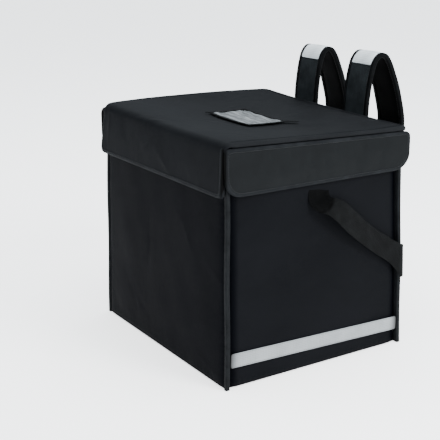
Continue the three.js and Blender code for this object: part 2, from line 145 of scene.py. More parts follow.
# Darker and lighter grey of the reflective tapes, before their brightness
REFLECTIVE_COLOURS = ((0.42, 0.46, 0.48), (0.68, 0.72, 0.74))
FLOOR_GLOW = 1.5


def part_way(value, start, reach):
    """How far a value has come over a reach from its start: 0 before it and 1 past it."""
    return np.clip((value - start) / reach, 0, 1)


def hump(off, width):
    """A round hump: 1 in its middle, and next to nothing at twice its width."""
    return np.exp(-((off / width) ** 2))


def only(piece):
    """Selects one piece and makes it the active one."""
    bpy.ops.object.select_all(action="DESELECT")
    piece.select_set(True)
    bpy.context.view_layer.objects.active = piece


def edited(piece, operator, **settings):
    """Runs an edit-mode operator on all of a piece."""
    only(piece)
    bpy.ops.object.mode_set(mode="EDIT")
    bpy.ops.mesh.select_all(action="SELECT")
    operator(**settings)
    bpy.ops.object.mode_set(mode="OBJECT")


def joined(pieces, name):
    """Joins pieces into the first of them, and names it."""
    bpy.ops.object.select_all(action="DESELECT")
    for piece in pieces:
        piece.select_set(True)
    piece = pieces[0]
    bpy.context.view_layer.objects.active = piece
    if len(pieces) > 1:
        bpy.ops.object.join()
    piece.name = piece.data.name = name
    return piece


def points(piece):
    """A piece's vertices as rows of x, y, z."""
    flat = np.empty(3 * len(piece.data.vertices))
    piece.data.vertices.foreach_get("co", flat)
    return flat.reshape(-1, 3)


def set_points(piece, rows):
    piece.data.vertices.foreach_set("co", np.ascontiguousarray(rows).ravel())
    piece.data.update()


def keep(piece, name, rows):
    """Keeps a value for each vertex, as three numbers or one."""
    rows = np.asarray(rows, float)
    kind, field = ("FLOAT_VECTOR", "vector") if rows.ndim == 2 else ("FLOAT", "value")
    column = piece.data.attributes.get(name) or piece.data.attributes.new(name, kind, "POINT")
    column.data.foreach_set(field, rows.ravel())


def kept(piece, name):
    column = piece.data.attributes[name]
    wide = column.data_type == "FLOAT_VECTOR"
    rows = np.empty(len(piece.data.vertices) * (3 if wide else 1))
    column.data.foreach_get("vector" if wide else "value", rows)
    return rows.reshape(-1, 3) if wide else rows


def applied(piece, kind, **settings):
    """Adds a modifier, sets it and applies it."""
    only(piece)
    modifier = piece.modifiers.new(kind.title(), kind)
    for name, value in settings.items():
        setattr(modifier, name, value)
    bpy.ops.object.modifier_apply(modifier=modifier.name)


def softened(piece, levels):
    applied(piece, "SUBSURF", levels=levels, render_levels=levels)
    bpy.ops.object.shade_smooth()


def placed(piece, matrix):
    """Moves a piece and leaves its object at the origin, unturned."""
    only(piece)
    piece.matrix_world = matrix
    bpy.ops.object.transform_apply(location=True, rotation=True, scale=True)


def facing(azimuth, distance, height):
    """From a panel lying in XY, face up, to one that stands and faces out. 0 is to -Y and 90 to +X."""
    turned = Matrix.Rotation(math.radians(azimuth), 4, "Z")
    return turned @ Matrix.Translation((0, -distance, height)) @ Matrix.Rotation(math.radians(90), 4, "X")


def finished(piece, material, slot, *nodes):
    """Gives a piece its material, its ride and the nodes that it stands for."""
    piece.data.materials.clear()
    piece.data.materials.append(material)
    piece["dressed"] = True
    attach(piece, "root")
    if nodes:
        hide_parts(*nodes)
    return piece


def cloth_grid(name, width, height, cell):
    """Flat cloth in XY about the origin, in nearly square cells."""
    bpy.ops.object.select_all(action="DESELECT")
    columns, rows = (max(1, round(side / cell)) for side in (width, height))
    bpy.ops.mesh.primitive_grid_add(x_subdivisions=columns, y_subdivisions=rows, size=1)
    piece = bpy.context.active_object
    piece.name = piece.data.name = name
    piece.scale = (width, height, 1)
    bpy.ops.object.transform_apply(scale=True)
    return piece


def rounded_corners(piece, width, height, low, top):
    """Draws the grid's corners in to arcs: low is the radius of the lower two, top of the upper two."""
    rows = points(piece)
    for radius, upper in ((low, False), (top, True)):
        if radius <= 0:
            continue
        centre_x, centre_y = width / 2 - radius, height / 2 - radius
        across = (np.abs(rows[:, 0]) - centre_x) / radius
        along = ((rows[:, 1] if upper else -rows[:, 1]) - centre_y) / radius
        inside = (across > 0) & (along > 0)
        square = np.maximum(across, along)[inside]
        scale = square / np.hypot(across, along)[inside]
        rows[inside, 0] = np.sign(rows[inside, 0]) * (centre_x + radius * across[inside] * scale)
        rows[inside, 1] = (1 if upper else -1) * (centre_y + radius * along[inside] * scale)
    set_points(piece, rows)


def rim_of(piece):
    """True for each vertex on the cloth's open edge."""
    uses = np.zeros(len(piece.data.edges), int)
    for face in piece.data.polygons:
        for key in face.loop_indices:
            uses[piece.data.loops[key].edge_index] += 1
    rim = np.zeros(len(piece.data.vertices), bool)
    for edge in piece.data.edges:
        if uses[edge.index] == 1:
            rim[list(edge.vertices)] = True
    return rim


def thickened(piece, thickness):
    """Gives the cloth a back at the given depth, and keeps which vertices are free to swell outwards."""
    rim = rim_of(piece)
    applied(piece, "SOLIDIFY", thickness=thickness, offset=-1, use_even_offset=False)
    skin = np.zeros(len(piece.data.vertices))
    skin[: len(rim)] = 1
    loose = skin.copy()
    loose[: len(rim)][rim] = 0
    keep(piece, "skin", skin)
    keep(piece, "loose", loose)


def swollen(piece, rise, slack=0.004):
    """Lets the outer skin swell as padded cloth, by at most rise. Its rim and back stay where they are."""
    loose = kept(piece, "loose")
    rest = points(piece)
    only(piece)
    group = piece.vertex_groups.new(name="held")
    group.add([int(i) for i in np.flatnonzero(loose < 0.5)], 1.0, "REPLACE")
    modifier = piece.modifiers.new("Cloth", "CLOTH")
    cloth = modifier.settings
    cloth.quality = 4
    cloth.mass = 0.3
    cloth.tension_stiffness = cloth.compression_stiffness = 20
    cloth.shear_stiffness = 10
    cloth.bending_stiffness = 1.5
    cloth.use_pressure = True
    cloth.uniform_pressure_force = PRESSURE
    cloth.vertex_group_mass = "held"
    cloth.shrink_min = -slack
    cloth.effector_weights.gravity = 0
    modifier.collision_settings.use_collision = False
    modifier.point_cache.frame_start = 1
    modifier.point_cache.frame_end = SWELL_STEPS
    for step in range(1, SWELL_STEPS + 1):
        bpy.context.scene.frame_set(step)
    bpy.ops.object.modifier_apply(modifier=modifier.name)
    bpy.context.scene.frame_set(1)
    moved = points(piece) - rest
    furthest = np.linalg.norm(moved, axis=1).max()
    set_points(piece, rest + moved * min(1, rise / max(furthest, 1e-9)))
    piece.vertex_groups.clear()


def vertex_normals(piece):
    rows = np.empty(3 * len(piece.data.vertices))
    piece.data.vertices.foreach_get("normal", rows)
    return rows.reshape(-1, 3)


def waves(u, v, seed, count, shortest, longest, height, lean=None):
    """Soft unevenness: a sum of waves over the cloth, each as high as it is long.

    Lean sets their main heading.
    """
    draw = np.random.default_rng(seed)
    total = np.zeros_like(u)
    for _ in range(count):
        length = shortest * (longest / shortest) ** draw.random()
        angle = draw.random() * math.pi if lean is None else lean + draw.normal() * 0.35
        phase = draw.random() * 2 * math.pi
        turn = 2 * math.pi / length
        total += (length / longest) * np.sin(turn * (u * math.cos(angle) + v * math.sin(angle)) + phase)
    return height * total / math.sqrt(count)


def creases(u, v, seed, count, length, width, height):
    """Short soft folds at random places, as pressed or packed cloth keeps."""
    draw = np.random.default_rng(seed)
    total = np.zeros_like(u)
    low_u, high_u, low_v, high_v = u.min(), u.max(), v.min(), v.max()
    for _ in range(count):
        at_u, at_v = draw.uniform(low_u, high_u), draw.uniform(low_v, high_v)
        angle = draw.random() * math.pi
        along = (u - at_u) * math.cos(angle) + (v - at_v) * math.sin(angle)
        off = -(u - at_u) * math.sin(angle) + (v - at_v) * math.cos(angle)
        off = off + 0.15 * along * np.sin(along / length * 2 + at_u * 90)
        size = draw.uniform(0.5, 1)
        total += hump(along, length * size) * hump(off, width * size) * size * draw.choice((-1, 1))
    return height * total


def raised(piece, heights):
    """Moves each vertex of the outer skin out along its normal."""
    set_points(piece, points(piece) + vertex_normals(piece) * (heights * kept(piece, "skin"))[:, None])


def seam_relief(distance, along):
    """The channel that a row of stitches pulls, and the puckers beside it."""
    off = distance - SEAM
    pucker = PUCKER_HEIGHT * np.sin(along * 2 * math.pi / PUCKER_PITCH)
    return pucker * hump(off, 7 * MM) - SEAM_DEPTH * hump(off, 1.5 * MM)


def box_distance(u, v, half_u, half_v):
    """Distance in from the nearest edge of a rectangle about the origin, and the place along that edge."""
    from_u, from_v = half_u - np.abs(u), half_v - np.abs(v)
    return np.minimum(from_u, from_v), np.where(from_u < from_v, v, u)


# How the soft box lies: how far the lid stands over the frame at its corners, bulges at its left edge and
# sags in its middle, and by what share the walls flare at their foot
LID_CORNERS = {(-1, -1): 9 * MM, (-1, 1): 3.5 * MM, (1, -1): 5 * MM, (1, 1): -8 * MM}
LID_LEFT_BULGE = 4 * MM
LID_SAG = 18 * MM
FOOT_FLARE = 0.03
# The front flap's lower edge hangs off the wall and spreads
FLAP_SWING = 5 * MM
FLAP_SPREAD = 0.012
# The lid's left corners lie a little aside. Each corner here has its start and its reach, across and along
LID_LEFT_IN = 8 * MM
LID_LEFT_BACK = 8 * MM
LEFT_CORNERS = ((120 * MM, 100 * MM), (100 * MM, 90 * MM))
# The side flaps and the lid's right back corner reach past the back, and the wall under them is drawn in
FLAP_REACH = 6.5 * MM
LID_REACH = 4 * MM
WALL_DRAW = 4 * MM
RIGHT_CORNER = ((140 * MM, 50 * MM), (100 * MM, 80 * MM))


def lid_lift(x, y):
    """How far the lid's top lies above the frame's."""
    u = np.clip(x / LID[1].x, -1, 1)
    v = np.clip((y - LID[0].y) / (LID[1].y - LID[0].y) * 2 - 1, -1, 1)
    lift = sum(rise * (1 + a * u) * (1 + b * v) / 4 for (a, b), rise in LID_CORNERS.items())
    bulge = LID_LEFT_BULGE * (1 - v**2) * ((1 - u) / 2) ** 2
    return lift + bulge - LID_SAG * (1 - u**2) * (1 - v**2)


def settled(piece):
    """Lets a piece follow the soft box: the lid's lie from the flaps' lower edge up, and the flare below."""
    rows = points(piece)
    x, y, z = rows.T
    flare = 1 + FOOT_FLARE * np.clip(1 - z / flap_low, 0, 1)
    x *= flare
    y *= flare
    if piece.name.startswith(("shoulder", "strap")):
        low, top, lift, _ = STRAP_LIE["right" if x.mean() > 0 else "left"]
        over = np.clip((z - wall_top) / STRAP_RISE, 0, 1.1)
        x += np.interp(z, (STRAP_STILL, wall_top, wall_top + STRAP_RISE), (0, low, top))
        z += lift * over
    else:
        follow = part_way(z, flap_low, LID[0].z - flap_low)
        z += follow * follow * (3 - 2 * follow) * lid_lift(x, y)
    corner = part_way(x, *RIGHT_CORNER[0]) * part_way(y, *RIGHT_CORNER[1])
    if piece.name.startswith("side_flap"):
        y += FLAP_REACH * part_way(y, 0, back_face)
    elif piece.name.startswith("lid_cover"):
        y += LID_REACH * corner
    else:
        y -= WALL_DRAW * corner * part_way(z, 0, flap_low) ** 2
    if piece.name.startswith(("lid_cover", "front_flap")):
        hang = part_way(LID[0].z - z, 0, LID[0].z - flap_low) * (y < front_face)
        y -= FLAP_SWING * hang
        x *= 1 + FLAP_SPREAD * hang
        left = part_way(-x, *LEFT_CORNERS[0])
        x += LID_LEFT_IN * left * part_way(-y, *LEFT_CORNERS[1]) * (1 - hang)
        y += LID_LEFT_BACK * left * part_way(y, *LEFT_CORNERS[1])
    set_points(piece, rows)


class Finish:
    """A material and its node tree, with short calls to add and join nodes."""

    def __init__(self, name, **sockets):
        self.material = bpy.data.materials.new(name)
        self.material.use_nodes = True
        self.tree = self.material.node_tree
        self.shader = self.tree.nodes["Principled BSDF"]
        for socket, value in sockets.items():
            title = socket.replace("_", " ").title().replace("Ior", "IOR")
            self.shader.inputs[title].default_value = value

    def add(self, kind, inputs=None, **settings):
        node = self.tree.nodes.new(kind)
        for name, value in settings.items():
            setattr(node, name, value)
        for key, value in (inputs or {}).items():
            if isinstance(value, bpy.types.NodeSocket):
                self.tree.links.new(value, node.inputs[key])
            else:
                node.inputs[key].default_value = value
        return node

    def math(self, operation, *values):
        return self.add("ShaderNodeMath", dict(enumerate(values)), operation=operation).outputs[0]

    def set(self, socket, value):
        self.tree.links.new(value, self.shader.inputs[socket])

    def place(self):
        return self.add("ShaderNodeTexCoord").outputs["Object"]

    def flat(self):
        """Place on the cloth along its width and its length, in metres."""
        return self.add("ShaderNodeAttribute", attribute_name="flat").outputs["Vector"]

    def noise(self, vector, scale, detail=2.0, roughness=0.5):
        inputs = {"Vector": vector, "Scale": scale, "Detail": detail, "Roughness": roughness}
        return self.add("ShaderNodeTexNoise", inputs).outputs["Fac"]

    def stretched(self, vector, scale):
        return self.add("ShaderNodeMapping", {"Vector": vector, "Scale": scale}).outputs[0]

    def ramp(self, value, *stops):
        node = self.add("ShaderNodeValToRGB", {"Fac": value})
        while len(node.color_ramp.elements) < len(stops):
            node.color_ramp.elements.new(0.5)
        for element, (at, colour) in zip(node.color_ramp.elements, stops):
            element.position = at
            element.color = (*colour, 1)
        return node.outputs["Color"]

    def mixed(self, share, first, second, blend="MIX"):
        node = self.add("ShaderNodeMix", data_type="RGBA", blend_type=blend)
        for key, value in ((0, share), (6, first), (7, second)):
            if isinstance(value, bpy.types.NodeSocket):
                self.tree.links.new(value, node.inputs[key])
            else:
                node.inputs[key].default_value = value
        return node.outputs[2]

    def bump(self, height, distance, strength=1.0, under=None):
        inputs = {"Height": height, "Distance": distance, "Strength": strength}
        if under is not None:
            inputs["Normal"] = under
        return self.add("ShaderNodeBump", inputs).outputs["Normal"]

    def shaded(self, tone, deepest):
        """Sets the colour, and darkens it by the painted shade that the piece keeps at each vertex."""
        painted_shade = self.add("ShaderNodeAttribute", attribute_name="painted_shade").outputs["Fac"]
        self.set("Base Color", self.mixed(painted_shade, tone, (*deepest, 1)))

    def split(self, vector):
        return self.add("ShaderNodeSeparateXYZ", {0: vector}).outputs

    def ribs(self, run, pitch):
        return self.math("SINE", self.math("MULTIPLY", run, 2 * math.pi / pitch))

    def threads(self, vector, pitch):
        """Height of a plain weave: threads over and under in both directions."""
        split = self.split(vector)
        both = self.math("MULTIPLY", self.ribs(split[0], pitch), self.ribs(split[1], pitch))
        return self.math("MULTIPLY_ADD", both, 0.5, 0.5)


def cloth_finish(name, dark, light, roughness):
    """Woven cloth: fine threads, with worn and handled patches."""
    cloth = Finish(name, specular_ior_level=0.02)
    flat, place = cloth.flat(), cloth.place()
    weave = cloth.threads(flat, WEAVE)
    patches = cloth.noise(cloth.stretched(place, (5.0, 3.0, 5.0)), 1.6, 4, 0.6)
    fuzz = cloth.noise(flat, 900, 2)
    tone = cloth.math("MULTIPLY_ADD", weave, 0.25, cloth.math("MULTIPLY_ADD", fuzz, 0.3, patches))
    cloth.shaded(cloth.ramp(tone, (0.42, dark), (1.05, light)), (0.0002, 0.0004, 0.0011))
    cloth.set("Roughness", cloth.math("MULTIPLY_ADD", patches, 0.18, roughness - 0.09))
    handled = cloth.bump(cloth.noise(place, 28, 4, 0.6), 1.2 * MM, 0.6)
    cloth.set("Normal", cloth.bump(weave, 0.12 * MM, 0.5, handled))
    return cloth.material


def tape_finish(name, dark, light):
    """Ribbed binding tape: fine ribs across its run, which is along the cloth's first direction."""
    tape = Finish(name, sheen_weight=0.004, sheen_roughness=0.4, specular_ior_level=0.03, roughness=0.65)
    flat = tape.flat()
    ribs = tape.ribs(tape.split(flat)[0], TAPE_RIBS)
    wear = tape.noise(flat, 60, 4, 0.6)
    tone = tape.math("MULTIPLY_ADD", ribs, 0.12, wear)
    tape.shaded(tape.ramp(tone, (0.3, dark), (0.75, light)), (0.0003, 0.0003, 0.0003))
    tape.set("Normal", tape.bump(ribs, 0.15 * MM, 0.6, tape.bump(wear, 0.6 * MM, 0.3)))
    return tape.material


def webbing_finish(name, dark, light):
    """Chunky flat webbing: slanting ribs that meet in rows along the strap."""
    web = Finish(name, specular_ior_level=0.02, roughness=0.68)
    flat = web.flat()
    split = web.split(flat)
    row = web.math("PINGPONG", split[1], WEBBING_ROWS)
    ribs = web.ribs(web.math("MULTIPLY_ADD", row, 0.9, split[0]), WEBBING_RIBS)
    tone = web.math("MULTIPLY_ADD", ribs, 0.14, web.noise(flat, 45, 4, 0.6))
    web.shaded(web.ramp(tone, (0.3, dark), (0.8, light)), (0.0003, 0.0003, 0.0003))
    web.set("Normal", web.bump(ribs, 0.3 * MM, 0.7))
    return web.material


def reflective_finish(name, brightness):
    """Silver-grey reflective tape: fine beads under a faint diamond press."""
    tape = Finish(name, metallic=0.25, roughness=0.42, specular_ior_level=0.5)
    flat = tape.flat()
    beads = tape.add("ShaderNodeTexVoronoi", {"Vector": flat, "Scale": 900.0}).outputs["Distance"]
    turned = tape.add("ShaderNodeMapping", {"Vector": flat, "Rotation": (0, 0, math.radians(45))}).outputs[0]
    press = tape.threads(turned, PRESS)
    wear = tape.noise(flat, 24, 5, 0.65)
    tone = tape.math("MULTIPLY_ADD", beads, 0.25, tape.math("MULTIPLY_ADD", press, 0.4, wear))
    dark, light = (tuple(brightness * value for value in colour) for colour in REFLECTIVE_COLOURS)
    tape.shaded(tape.ramp(tone, (0.45, dark), (1.15, light)), (0.002, 0.002, 0.002))
    tape.set("Normal", tape.bump(beads, 0.1 * MM, 0.4, tape.bump(press, 0.2 * MM, 0.4)))
    return tape.material


def mesh_finish(name, dark, light):
    """Padded strap cloth: a close knitted mesh over foam."""
    mesh = Finish(name, specular_ior_level=0.02, roughness=0.72)
    flat = mesh.flat()
    holes = mesh.add("ShaderNodeTexVoronoi", {"Vector": flat, "Scale": 520.0}).outputs["Distance"]
    wear = mesh.noise(flat, 30, 4, 0.6)
    tone = mesh.math("MULTIPLY_ADD", holes, 0.3, wear)
    mesh.shaded(mesh.ramp(tone, (0.35, dark), (0.9, light)), (0.0003, 0.0003, 0.0004))
    mesh.set("Normal", mesh.bump(holes, 0.4 * MM, 0.6, mesh.bump(wear, 1 * MM, 0.3)))
    return mesh.material


def vinyl_finish(name, dark, light):
    """Clear flexible sheet: glossy, its grey base colour, streaked where it waves, a painted reflection of the
    bright surround.
    """
    vinyl = Finish(name, roughness=0.26, specular_ior_level=0.5, coat_weight=0.25, coat_roughness=0.12)
    painted_reflection_streaks = vinyl.noise(vinyl.stretched(vinyl.flat(), (16.0, 110.0, 1.0)), 1.0, 5, 0.65)
    vinyl.set("Base Color", vinyl.ramp(painted_reflection_streaks, (0.43, dark), (0.62, light)))
    return vinyl.material


def thread_finish(name, dark, light):
    thread = Finish(name, roughness=0.6)
    twist = thread.noise(thread.place(), 2500, 2)
    thread.set("Base Color", thread.ramp(twist, (0.3, dark), (0.7, light)))
    return thread.material


def plastic_finish(name, dark, light):
    """Moulded plastic with a fine satin grain."""
    plastic = Finish(name, roughness=0.5, specular_ior_level=0.1)
    grain = plastic.noise(plastic.place(), 1400, 3)
    plastic.set("Base Color", plastic.ramp(grain, (0.3, dark), (0.7, light)))
    plastic.set("Normal", plastic.bump(grain, 0.04 * MM, 0.3))
    return plastic.material


# Each finish with its darker and its lighter colour. The cloths have a roughness too, and the reflective
# tapes have a brightness instead
SHELL = cloth_finish("shell_cloth", (0.0018, 0.002, 0.0025), (0.004, 0.0043, 0.0053), 0.66)
# The lid's and the side flaps' cloths are the walls' black cloth made lighter: painted light, for the faces
# that catch more light
LID_CLOTH_PAINTED_LIGHT = cloth_finish("lid_cloth", (0.0044, 0.0048, 0.0055), (0.0103, 0.011, 0.0121), 0.64)
TAPE = tape_finish("binding_tape", (0.0044, 0.0049, 0.0057), (0.011, 0.0122, 0.0136))
RIB_TAPE = tape_finish("rib_tape", (0.0037, 0.0041, 0.0047), (0.0098, 0.0107, 0.0117))
MESH = mesh_finish("strap_mesh", (0.0052, 0.0062, 0.007), (0.018, 0.021, 0.0228))
WEBBING = webbing_finish("webbing", (0.0024, 0.0026, 0.0027), (0.0068, 0.0071, 0.0074))
EDGE_TAPE = tape_finish("strap_edge_tape", (0.0007, 0.0008, 0.001), (0.0022, 0.0025, 0.0029))
FLAP_CLOTH_PAINTED_LIGHT = cloth_finish("flap_cloth_painted_light", (0.0041, 0.0046, 0.0049), (0.0088, 0.0095, 0.0101), 0.64)
REFLECTIVE = reflective_finish("reflective_tape", 0.93)
# The side strips' tape is the same reflective tape made much darker: painted shade for the strips on the walls
STRIP_REFLECTIVE_PAINTED_DARKER = reflective_finish("strip_reflective_tape_painted_darker", 0.34)
VINYL_PAINTED_REFLECTION = vinyl_finish("clear_vinyl", (0.015, 0.017, 0.018), (0.138, 0.146, 0.15))
THREAD = thread_finish("thread", (0.005, 0.0056, 0.006), (0.012, 0.013, 0.014))
PLASTIC = plastic_finish("buckle_plastic", (0.004, 0.004, 0.0044), (0.007, 0.007, 0.0075))


def distances(places):
    """Distance along a line to each of its places."""
    return np.concatenate(([0], np.cumsum(np.linalg.norm(np.diff(places, axis=0), axis=1))))


def read_at(wanted, at, rows):
    """Rows that are known at some distances, read at others."""
    return np.stack([np.interp(wanted, at, column) for column in rows.T], axis=1)


def heading(places):
    """The direction of a line at each of its places."""
    forward = np.gradient(places, axis=0)
    return forward / np.linalg.norm(forward, axis=1, keepdims=True)


def soft_curve(share, first, last, leaving, arriving):
    """Places on a soft curve between two places, from its slopes where it leaves and arrives."""
    over = 3 * share**2 - 2 * share**3
    leave = share**3 - 2 * share**2 + share
    arrive = share**3 - share**2
    return (1 - over) * first + over * last + leave * leaving + arrive * arriving


class Line:
    """A run through space: places, with the directions across it and out of it, by distance."""

    def __init__(self, places, across, out):
        self.places, self.across, self.out = (np.asarray(rows, float) for rows in (places, across, out))
        self.at = distances(self.places)
        self.length = self.at[-1]

    def laid(self, rows):
        """Rows of distance along, across and out, carried onto the line."""
        along = rows[:, 0]
        places, across, out = (read_at(along, self.at, kind) for kind in (self.places, self.across, self.out))
        tips = np.linalg.norm(out, axis=1, keepdims=True)
        return places + across * rows[:, 1:2] + out / np.maximum(tips, 1e-9) * rows[:, 2:3]


def straight(start, end, across, out):
    return Line([start, end], [across, across], [out, out])


def laid_along(piece, line):
    set_points(piece, line.laid(points(piece)))


def strip(name, length, width, thickness, cell, low=0.0, profile=None):
    """A flat strip along X from 0 to its length, its faces at low and low + thickness."""
    piece = cloth_grid(name, length, width, cell)
    rows = points(piece)
    rows[:, 0] += length / 2
    rows[:, 2] = low + thickness
    if profile is not None:
        rows[:, 2] += profile(rows[:, 0], rows[:, 1])
    set_points(piece, rows)
    keep(piece, "flat", rows)
    thickened(piece, thickness)
    return piece


def stitches(name, rows_of):
    """Rows of stitches as one piece. Each row is (line, start, end, offset across, height)."""
    made = []
    for line, start, end, offset, height in rows_of:
        count = max(1, int((end - start) / STITCH_PITCH))
        bpy.ops.object.select_all(action="DESELECT")
        bpy.ops.mesh.primitive_ico_sphere_add(subdivisions=1, radius=0.5)
        row = bpy.context.active_object
        row.scale = (STITCH_LENGTH, STITCH_WIDTH, STITCH_WIDTH)
        row.location = (start + STITCH_PITCH / 2, offset, height)
        bpy.ops.object.transform_apply(location=True, scale=True)
        applied(row, "ARRAY", count=count, use_relative_offset=False, use_constant_offset=True,
                constant_offset_displace=(STITCH_PITCH, 0, 0))
        laid_along(row, line)
        made.append(row)
    piece = joined(made, name)
    bpy.ops.object.shade_smooth()
    return piece


def wall_cover(name, node, width, azimuth, distance, padding, seed):
    """One padded wall: foam under cloth, pulled in beside the ribs at its upright edges."""
    rise, pinch, painted_groove_reach, least_painted_shade = padding
    piece = cloth_grid(name, width, wall_top, CELL)
    rows = points(piece)
    keep(piece, "flat", rows)
    corner = np.all(np.abs(rows[:, :2]) > np.array((width, wall_top)) / 2 - 1e-5, axis=1)
    rows[corner, :2] += np.sign(rows[corner, :2]) * CORNER_REACH
    set_points(piece, rows)
    thickened(piece, wall_thickness)
    swollen(piece, rise)
    softened(piece, 2)
    flat = kept(piece, "flat")
    u, v = flat[:, 0], flat[:, 1]
    soft = waves(u, v, seed, count=9, shortest=70 * MM, longest=350 * MM, height=1.1 * MM)
    soft += creases(u, v, seed + 1, count=14, length=50 * MM, width=9 * MM, height=0.55 * MM)
    # A wall that hardly swells lies nearly flat
    soft *= min(1, rise / (3 * MM))
    distance_in, along = box_distance(u, v, width / 2, wall_top / 2)
    from_rib = width / 2 - np.abs(u)
    relief = part_way(distance_in, 0, 15 * MM) * soft + seam_relief(distance_in, along)
    raised(piece, relief - pinch * hump(from_rib, 10 * MM))
    # Painted shade: dark in the groove beside each rib, and the wall's own painted shade everywhere else
    painted_groove_shade = part_way(painted_groove_reach - from_rib, 0, PAINTED_GROOVE_FADE) * kept(piece, "skin")
    keep(piece, "painted_shade", np.maximum(0.95 * painted_groove_shade, least_painted_shade))
    placed(piece, facing(azimuth, distance, wall_top / 2))
    finished(piece, SHELL, "panel_fabric", node)


def build_walls():
    for name, node, width, azimuth, distance, padding, seed in (
        ("front_cover", "front_panel", wall_width, 0, -front_face, FRONT_PADDING, 11),
        ("back_cover", "back_panel", wall_width, 180, back_face - BACK_INSET, BACK_PADDING, 12),
        ("side_cover_right", "side_panel_right", wall_depth, 90, side_face, SIDE_PADDING, 13),
        ("side_cover_left", "side_panel_left", wall_depth, 270, side_face, SIDE_PADDING, 14),
    ):
        wall_cover(name, node, width + 2 * WALL_LAP, azimuth, distance, padding, seed)


def build_base():
    """The base, its cloth face down."""
    width, depth = BASE[1].x - BASE[0].x, BASE[1].y - BASE[0].y
    piece = cloth_grid("base_cover", width, depth, CELL)
    keep(piece, "flat", points(piece))
    thickened(piece, BASE[1].z - BASE[0].z)
    softened(piece, 1)
    placed(piece, Matrix.Rotation(math.pi, 4, "X"))
    finished(piece, SHELL, "panel_fabric", "base_panel")


def build_ribs():
    """The bound seams that stand out at the upright corners: tape folded over the panels' edges."""
    size_x, size_y = RIB[1].x - RIB[0].x, RIB[1].y - RIB[0].y
    for side, sign_x in (("right", 1), ("left", -1)):
        for end, sign_y in (("front", -1), ("back", 1)):
            node = f"corner_binding_{end}_{side}"
            low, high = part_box(node)
            middle = (low + high) / 2
            bpy.ops.object.select_all(action="DESELECT")
            bpy.ops.mesh.primitive_cube_add(size=1, location=middle)
            piece = bpy.context.active_object
            piece.name = piece.data.name = f"corner_rib_{end}_{side}"
            piece.scale = (size_x, size_y, high.z - low.z)
            bpy.ops.object.transform_apply(location=True, scale=True)
            edited(piece, bpy.ops.mesh.subdivide, number_cuts=1)
            cells = int((high.z - low.z) / RIB_CELL)
            for above_foot in (RIB_FOOT, *(step * RIB_CELL for step in range(1, cells))):
                edited(piece, bpy.ops.mesh.bisect, plane_co=(0, 0, low.z + above_foot), plane_no=(0, 0, 1))
            x, y, z = points(piece).T
            keep(piece, "flat", np.stack([z, x + y, 0 * x], axis=1))
            softened(piece, 2)
            rows = points(piece)
            x, y, z = rows.T
            sway = RIB_SWAY * np.sin(z / RIB_WAVE + sign_x + 2 * sign_y)
            pinch = 1 + RIB_PINCH * np.sin(z * 2 * math.pi / (2 * STITCH_PITCH))
            x[:] = middle.x + (x + sway - middle.x) * pinch
            y += 0.6 * sway
            set_points(piece, rows)
            finished(piece, RIB_TAPE, "binding_tape", node)


# The lid: radius of its back corners and of its fold to the front flap, and its padding
LID_CORNER = 14 * MM
LID_FOLD = 15 * MM
LID_FOLD_STEPS = 3
LID_PADDING = 7 * MM
LID_RISE = 5 * MM
LID_SLACK = 0.006
LID_UNDER = 1.3 * MM
LID_FADE = 12 * MM
# Its hem's distance in from the edge, and the channel that its seam pulls
LID_HEM = 11 * MM
LID_HEM_DEPTH = 1.1 * MM
LID_HEM_WIDTH = 1.7 * MM
# Painted shade on the lid: along the channel of its hem, over its far left corner and on the hanging flap
HEM_PAINTED_SHADE = 0.8
HEM_PAINTED_SHADE_WIDTH = 3.2 * MM
FAR_PAINTED_SHADE = 0.5
HANGING_PAINTED_SHADE = 0.51


def lid_cloth():
    """The lid's flat cloth, its front edge turned down into the front flap, with its lie as laid out flat."""
    width = LID[1].x - LID[0].x
    top_depth = LID[1].y - LID[0].y - LID_FOLD
    start = LID[0].y + LID_FOLD
    piece = cloth_grid("lid_cover", width, top_depth, CELL)
    rounded_corners(piece, width, top_depth, 0, LID_CORNER)
    rows = points(piece)
    rows[:, 1] += start + top_depth / 2
    rows[:, 2] = lid_top
    set_points(piece, rows)
    only(piece)
    bpy.ops.object.mode_set(mode="EDIT")
    bpy.ops.mesh.select_mode(type="VERT")
    bpy.ops.mesh.select_all(action="DESELECT")
    bpy.ops.object.mode_set(mode="OBJECT")
    for index in np.flatnonzero(rows[:, 1] < start + 1e-6):
        piece.data.vertices[int(index)].select = True
    # Steps of the front edge: round the fold, where it narrows to the flap's width, and then down
    turns = np.linspace(0, math.pi / 2, LID_FOLD_STEPS + 1)
    runs = np.diff(LID_FOLD * np.column_stack([-np.sin(turns), np.cos(turns)]), axis=0).tolist()
    drop = lid_top - LID_FOLD - FRONT_FLAP[0].z
    down_steps = round(drop / CELL)
    runs += [(0, -drop / down_steps)] * down_steps
    narrow = ((FRONT_FLAP[1].x - FRONT_FLAP[0].x) / width) ** (1 / LID_FOLD_STEPS)
    bpy.ops.object.mode_set(mode="EDIT")
    for step, (dy, dz) in enumerate(runs):
        bpy.ops.mesh.extrude_region_move(TRANSFORM_OT_translate={"value": (0, dy, dz)})
        if step < LID_FOLD_STEPS:
            bpy.ops.transform.resize(value=(narrow, 1, 1), center_override=(0, 0, 0))
    bpy.ops.object.mode_set(mode="OBJECT")
    edited(piece, bpy.ops.mesh.normals_make_consistent, inside=False)
    x, y, z = points(piece).T
    angle = np.arctan2(start - y, np.maximum(z - (lid_top - LID_FOLD), 0))
    turned = start - LID_FOLD * angle - np.maximum(lid_top - LID_FOLD - z, 0)
    if piece.data.polygons[0].normal.z < 0:
        edited(piece, bpy.ops.mesh.flip_normals)
    keep(piece, "flat", np.stack([x, np.where(y < start - 1e-7, turned, y), 0 * x], axis=1))
    return piece


